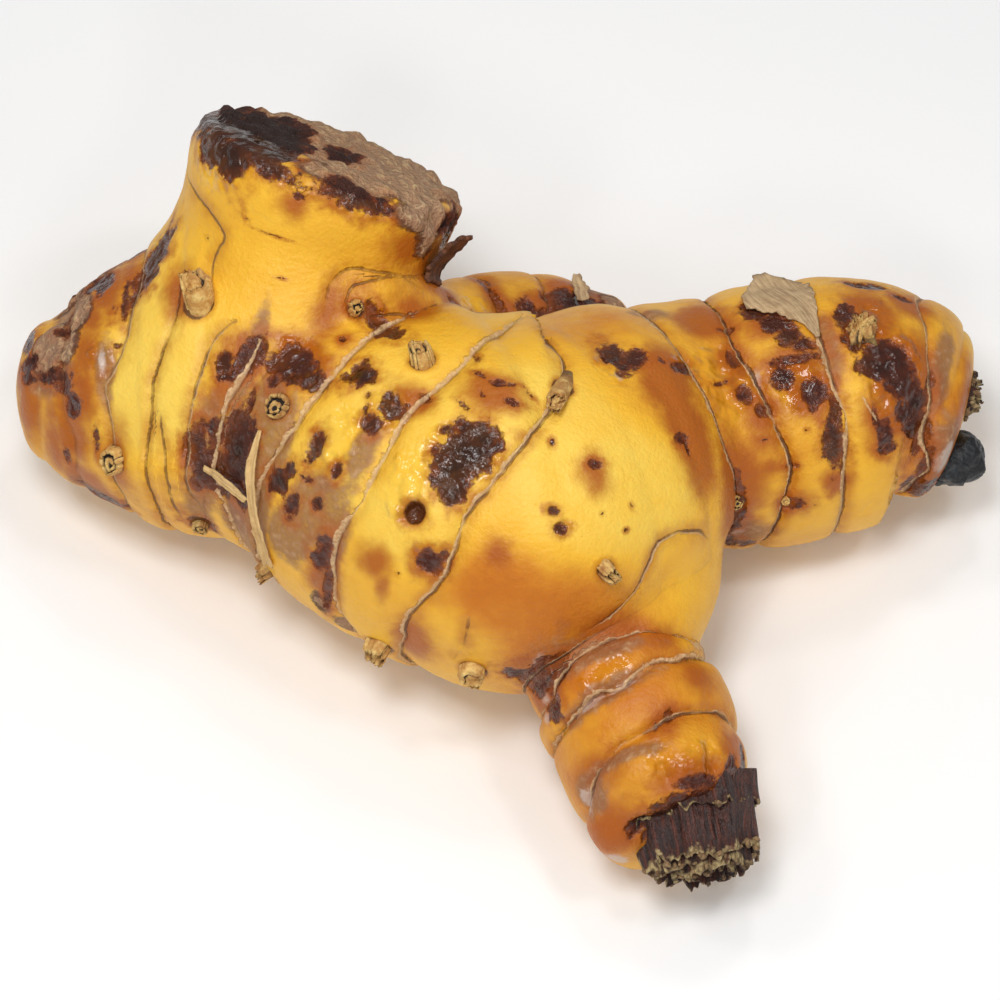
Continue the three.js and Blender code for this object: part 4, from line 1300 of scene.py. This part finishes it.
# The torn ends of old stems, one torn tube inside another. tubes: share of the radius, where its torn edge is
# from 0 to 1, how far the teeth of that edge reach in mm. crumbs is the share of the way where crumbs begin.
sheaths = {
    "stem_stub": {"root": (20.3, -31.8, 12.2), "tip": (22.1, -41.3, 8.6), "radii": (7.3, 6.6), "flat": 0.84,
                  "tubes": [(1, 0.34, 1.6), (0.95, 0.84, 1.5), (0.78, 0.97, 1.3), (0.5, 1, 1)],
                  "ribs": 9, "wall": 0.5, "seed": 3, "crumbs": 0.8},
    "stem_base": {"root": (47.6, 17.4, 16), "tip": (54, 17.6, 16.6), "radii": (3.2, 2.7), "flat": 1,
                  "tubes": [(1, 0.72, 1.1), (0.78, 0.92, 0.9), (0.5, 1, 0.7)],
                  "ribs": 6, "wall": 0.35, "seed": 8, "crumbs": 0.5},
}
sheathLook = {"sides": 110, "outerRows": 22, "innerRows": 7, "innerFoot": 0.35,
              "fold": 0.05, "flake": 0.1, "flare": 0.12}
crumbs = {"perSquareMm": 0.7, "smallest": 0.12, "largest": 0.55, "lumpy": 0.9, "flat": 0.6, "seed": 11}


def makeSheathFinish():
    finish = Finish("stemSheath")
    lengthwise = finish.node("Attribute", {"attribute_name": "grainLine"}, {}, "Vector")
    fibres = finish.node("TexNoise", {}, {"Vector": lengthwise, "Scale": 1.0, "Detail": 5.0}) * 2 - 1
    patchy, small, dust = finish.noise(2.2, 3), finish.noise(0.7, 3), finish.noise(0.25)
    fringe = finish.attribute("fringe")
    worn = finish.step(fibres * 1.3 + small * 0.4, -0.4, 0.8)
    split = finish.step(fibres + dust * 0.4 + patchy * 0.5, 0.4, 0.9)
    colour = finish.mix(paint(40, 22, 18), paint(100, 48, 32), worn)
    colour = finish.mix(colour, paint(134, 82, 50), split * 0.6)
    torn = finish.mix(paint(104, 78, 44), paint(200, 176, 126), finish.step(small + fibres * 0.6, -0.4, 0.6))
    colour = finish.mix(colour, torn, finish.step(fringe + patchy * 0.4 + small * 0.3, 0.75, 1.0))
    roughness = 0.5 + small * 0.15 + finish.step(fringe, 0.4, 0.8) * 0.25
    return finish.finished(colour, roughness, fibres * 0.7 + small * 0.5 + dust * 0.2, 1.0, 0.0004)


def makeCrumbFinish():
    finish = Finish("sheathCrumb")
    patchy, small, dust = finish.noise(3), finish.noise(0.8, 3), finish.noise(0.25)
    colour = finish.mix(paint(96, 68, 42), paint(176, 142, 98), finish.step(small + patchy * 0.8, -0.5, 0.6))
    colour = finish.mix(colour, paint(54, 32, 22), finish.step(patchy + dust * 0.5, -0.1, 0.5) * 0.85)
    colour = finish.mix(colour, paint(214, 202, 160), finish.step(dust + small * 0.6, 0.4, 0.8))
    return finish.finished(colour, 0.8 + small * 0.1, small * 0.5 + dust * 0.4, 1.0, 0.0002)


def makeSheath(name, sheath, finish, crumbFinish):
    sides, innerFoot = sheathLook["sides"], sheathLook["innerFoot"]
    root, tip = np.array(sheath["root"], float), np.array(sheath["tip"], float)
    long = np.linalg.norm(tip - root)
    axis = (tip - root) / long
    side = np.cross(axis, [0, 0, 1.0])
    side /= np.linalg.norm(side)
    up = np.cross(side, axis)
    start, end = sheath["radii"]
    corners, faces, grainLine, fringe = [], [], [], []
    for number, (share, edge, teeth) in enumerate(sheath["tubes"]):
        outer = np.linspace(0, edge, sheathLook["outerRows"])
        inner = np.linspace(edge, edge * innerFoot, sheathLook["innerRows"])
        profile = [(run, 0) for run in outer] + [(run, sheath["wall"]) for run in inner]
        first = len(corners)
        for run, wall in profile:
            for k in range(sides):
                turn = 2 * math.pi * k / sides
                here = Vector((math.cos(turn) * 2, math.sin(turn) * 2, sheath["seed"] * 5 + number * 3))
                fold = sheathLook["fold"] * math.cos(turn * sheath["ribs"] + 3 * noise.noise(here))
                scaled = Vector((here.x * 2.4, here.y * 2.4, run * 2 + number))
                flake = sheathLook["flake"] * noise.noise(scaled)
                flare = sheathLook["flare"] * (run / edge) ** 3 * noise.noise(here * 1.4)
                radius = (start + (end - start) * run) * share * (1 + fold + flake + flare) - wall
                tooth = noise.noise(here * 1.2) + 0.7 * noise.noise(here * 3.6) + 0.4 * noise.noise(here * 8)
                reach = run * long + teeth * tooth * (run / edge) ** 3
                out = side * math.cos(turn) + up * math.sin(turn) * sheath["flat"]
                corners.append(root + axis * reach + out * radius)
                grainLine.append((turn * start * 2, reach * 0.25, number * 3))
                fringe.append((run / edge) ** 3 if not wall else 0.7)
        for row in range(len(profile) - 1):
            for k in range(sides):
                a, b = first + row * sides + k, first + row * sides + (k + 1) % sides
                faces.append((a, b, b + sides, a + sides))
        foot, last = len(corners), first + (len(profile) - 1) * sides
        corners += [root, root + axis * long * edge * innerFoot]
        grainLine += [(0, 0, 0), (0, 0, 0)]
        fringe += [0, 0]
        faces += [(first + (k + 1) % sides, first + k, foot) for k in range(sides)]
        faces += [(last + k, last + (k + 1) % sides, foot + 1) for k in range(sides)]
    mesh = bpy.data.meshes.new(name + "Torn")
    mesh.from_pydata([tuple(corner * mm) for corner in corners], [], faces)
    outwards(mesh)
    addField(mesh, "grainLine", grainLine, "FLOAT_VECTOR")
    addField(mesh, "fringe", fringe)
    mesh.materials.append(finish)
    growCrumbs(name, mesh, sheath["crumbs"], crumbFinish)
    finishPiece(linked(name + "Torn", mesh), "husk", name)


def crumbTree():
    inputs = {"Crumb": "Object", "Per square metre": "Float", "From": "Float", "Smallest": "Float",
              "Largest": "Float", "Finish": "Material", "Seed": "Int"}
    tree, add, start = nodeTree("sheathCrumbs", inputs)
    torn = add("FunctionNodeCompare", {"operation": "GREATER_THAN"}, {
        0: named(add, "fringe", "FLOAT"), 1: start["From"]})
    strewn = add("GeometryNodeDistributePointsOnFaces", {}, {
        "Mesh": start["Geometry"], "Selection": torn.outputs[0], "Density": start["Per square metre"],
        "Seed": start["Seed"]})
    shape = add("GeometryNodeObjectInfo", {}, {"Object": start["Crumb"]})
    turn = add("FunctionNodeRandomValue", {"data_type": "FLOAT_VECTOR"}, {
        "Max": (6.28, 6.28, 6.28), "Seed": start["Seed"]})
    size = add("FunctionNodeRandomValue", {"data_type": "FLOAT"}, {"Seed": start["Seed"]})
    smallest, largest = [socket for socket in size.inputs if socket.type == "VALUE"][:2]
    tree.links.new(start["Smallest"], smallest)
    tree.links.new(start["Largest"], largest)
    sized = next(socket for socket in size.outputs if socket.type == "VALUE")
    placed = add("GeometryNodeInstanceOnPoints", {}, {
        "Points": strewn.outputs["Points"], "Instance": shape.outputs["Geometry"],
        "Rotation": turn.outputs["Value"], "Scale": sized})
    dress(tree, add, placed, start["Finish"])
    return tree


def growCrumbs(name, mesh, fringeFrom, finish):
    work = bmesh.new()
    bmesh.ops.create_icosphere(work, subdivisions=1, radius=1)
    for corner in work.verts:
        corner.co *= 1 + crumbs["lumpy"] * noise.noise(corner.co * 1.9)
        corner.co.z *= crumbs["flat"]
    shape = bpy.data.meshes.new("crumb")
    work.to_mesh(shape)
    work.free()
    crumb = bpy.data.objects.new("crumb", shape)
    values = {"Crumb": crumb, "Per square metre": crumbs["perSquareMm"] * 1e6, "From": fringeFrom,
              "Smallest": crumbs["smallest"] * mm, "Largest": crumbs["largest"] * mm, "Finish": finish,
              "Seed": crumbs["seed"]}
    done = grown(linked("crumbs", mesh.copy()), crumbTree(), values)
    bpy.data.objects.remove(crumb)
    writePoints(done, insideBox(readPoints(done) / mm))
    finishPiece(linked(name + "Crumbs", done), "husk")


sheathFinish, crumbFinish = makeSheathFinish(), makeCrumbFinish()
for name, sheath in sheaths.items():
    makeSheath(name, sheath, sheathFinish, crumbFinish)

bud = {"middle": (51.4, 11.9, 11.4), "radii": (3.8, 3.1, 2.8), "turn": 25, "folds": 0.16, "scales": 3,
       "lap": 0.1}


def makeBud():
    work = bmesh.new()
    bmesh.ops.create_icosphere(work, subdivisions=6, radius=1)
    turned = Matrix.Translation(bud["middle"]) @ Matrix.Rotation(math.radians(bud["turn"]), 4, "Z")
    for corner in work.verts:
        place = corner.co.copy()
        run = (place.x + 1) / 2 * bud["scales"] + 0.5 * noise.noise(place * 1.2) + 0.4 * place.y
        swell = 1 + bud["folds"] * noise.noise(place * 1.6) + 0.04 * noise.noise(place * 5)
        swell += bud["lap"] * ((run % 1) ** 2 - 0.4)
        corner.co = turned @ (place * Vector(bud["radii"]) * swell) * mm
    mesh = bpy.data.meshes.new("budSkin")
    work.to_mesh(mesh)
    work.free()
    writePoints(mesh, insideBox(readPoints(mesh) / mm))
    finish = Finish("budSkin")
    patchy, small = finish.noise(2.5, 3), finish.noise(0.6, 3)
    colour = finish.mix(paint(16, 16, 20), paint(44, 52, 56), finish.step(patchy + small * 0.4, -0.1, 0.9))
    colour = finish.mix(colour, paint(84, 54, 44), finish.step(patchy * -1.0 + small * 0.4, 0.3, 0.9) * 0.6)
    height = small * 0.5 + patchy * 0.3
    mesh.materials.append(finish.finished(colour, 0.45 + small * 0.1, height, 0.9, 0.0003))
    finishPiece(linked("budSkin", mesh), "bud", "end_bud")


makeBud()
print("stem ends and bud made")

camera = {"elevation": 55, "azimuth": 0, "distance": 620, "lens": 200, "sensor": 36, "target": (0, 3.7, 15)}


def makeCamera():
    data = bpy.data.cameras.new("camera")
    data.lens, data.sensor_width = camera["lens"], camera["sensor"]
    data.clip_start, data.clip_end = 0.01, 10
    obj = linked("camera", data)
    turn, rise = math.radians(camera["azimuth"]), math.radians(camera["elevation"])
    back = Vector((math.sin(turn) * math.cos(rise), -math.cos(turn) * math.cos(rise), math.sin(rise)))
    obj.location = (Vector(camera["target"]) + back * camera["distance"]) * mm
    obj.rotation_euler = (-back).to_track_quat("-Z", "Y").to_euler()
    scene.camera = obj


studio = {
    "world": 0.3,
    "lamps": [  # place, size, power
        ((-60, -130, 450), 130, 0.9), ((330, -260, 300), 240, 0.16), ((-230, 40, 380), 60, 0.16),
        ((170, -60, 430), 60, 0.22), ((30, -330, 300), 60, 0.16), ((-150, -260, 330), 60, 0.16),
        ((60, 180, 420), 60, 0.16),
    ],
    "aim": (0, 5, 10), "floor": paint(250, 250, 250), "floorReach": 2,  # floorReach in metres
}


def makeStudio():
    world = bpy.data.worlds.new("studio")
    world.use_nodes = True
    world.node_tree.nodes["Background"].inputs["Color"].default_value = (1, 1, 1, 1)
    world.node_tree.nodes["Background"].inputs["Strength"].default_value = studio["world"]
    scene.world = world
    for place, size, power in studio["lamps"]:
        data = bpy.data.lights.new("softbox", "AREA")
        data.size, data.energy = size * mm, power
        obj = linked("softbox", data)
        obj.location = Vector(place) * mm
        obj.rotation_euler = (Vector(studio["aim"]) - Vector(place)).to_track_quat("-Z", "Y").to_euler()
    mesh = bpy.data.meshes.new("floor")
    reach = studio["floorReach"]
    corners = [(-reach, -reach, 0), (reach, -reach, 0), (reach, reach, 0), (-reach, reach, 0)]
    mesh.from_pydata(corners, [], [(0, 1, 2, 3)])
    mesh.materials.append(Finish("floorPaper", Base_Color=studio["floor"], Roughness=0.9).material)
    linked("floor", mesh)
    scene.view_settings.view_transform = "Standard"


makeCamera()
makeStudio()
print("studio ready")
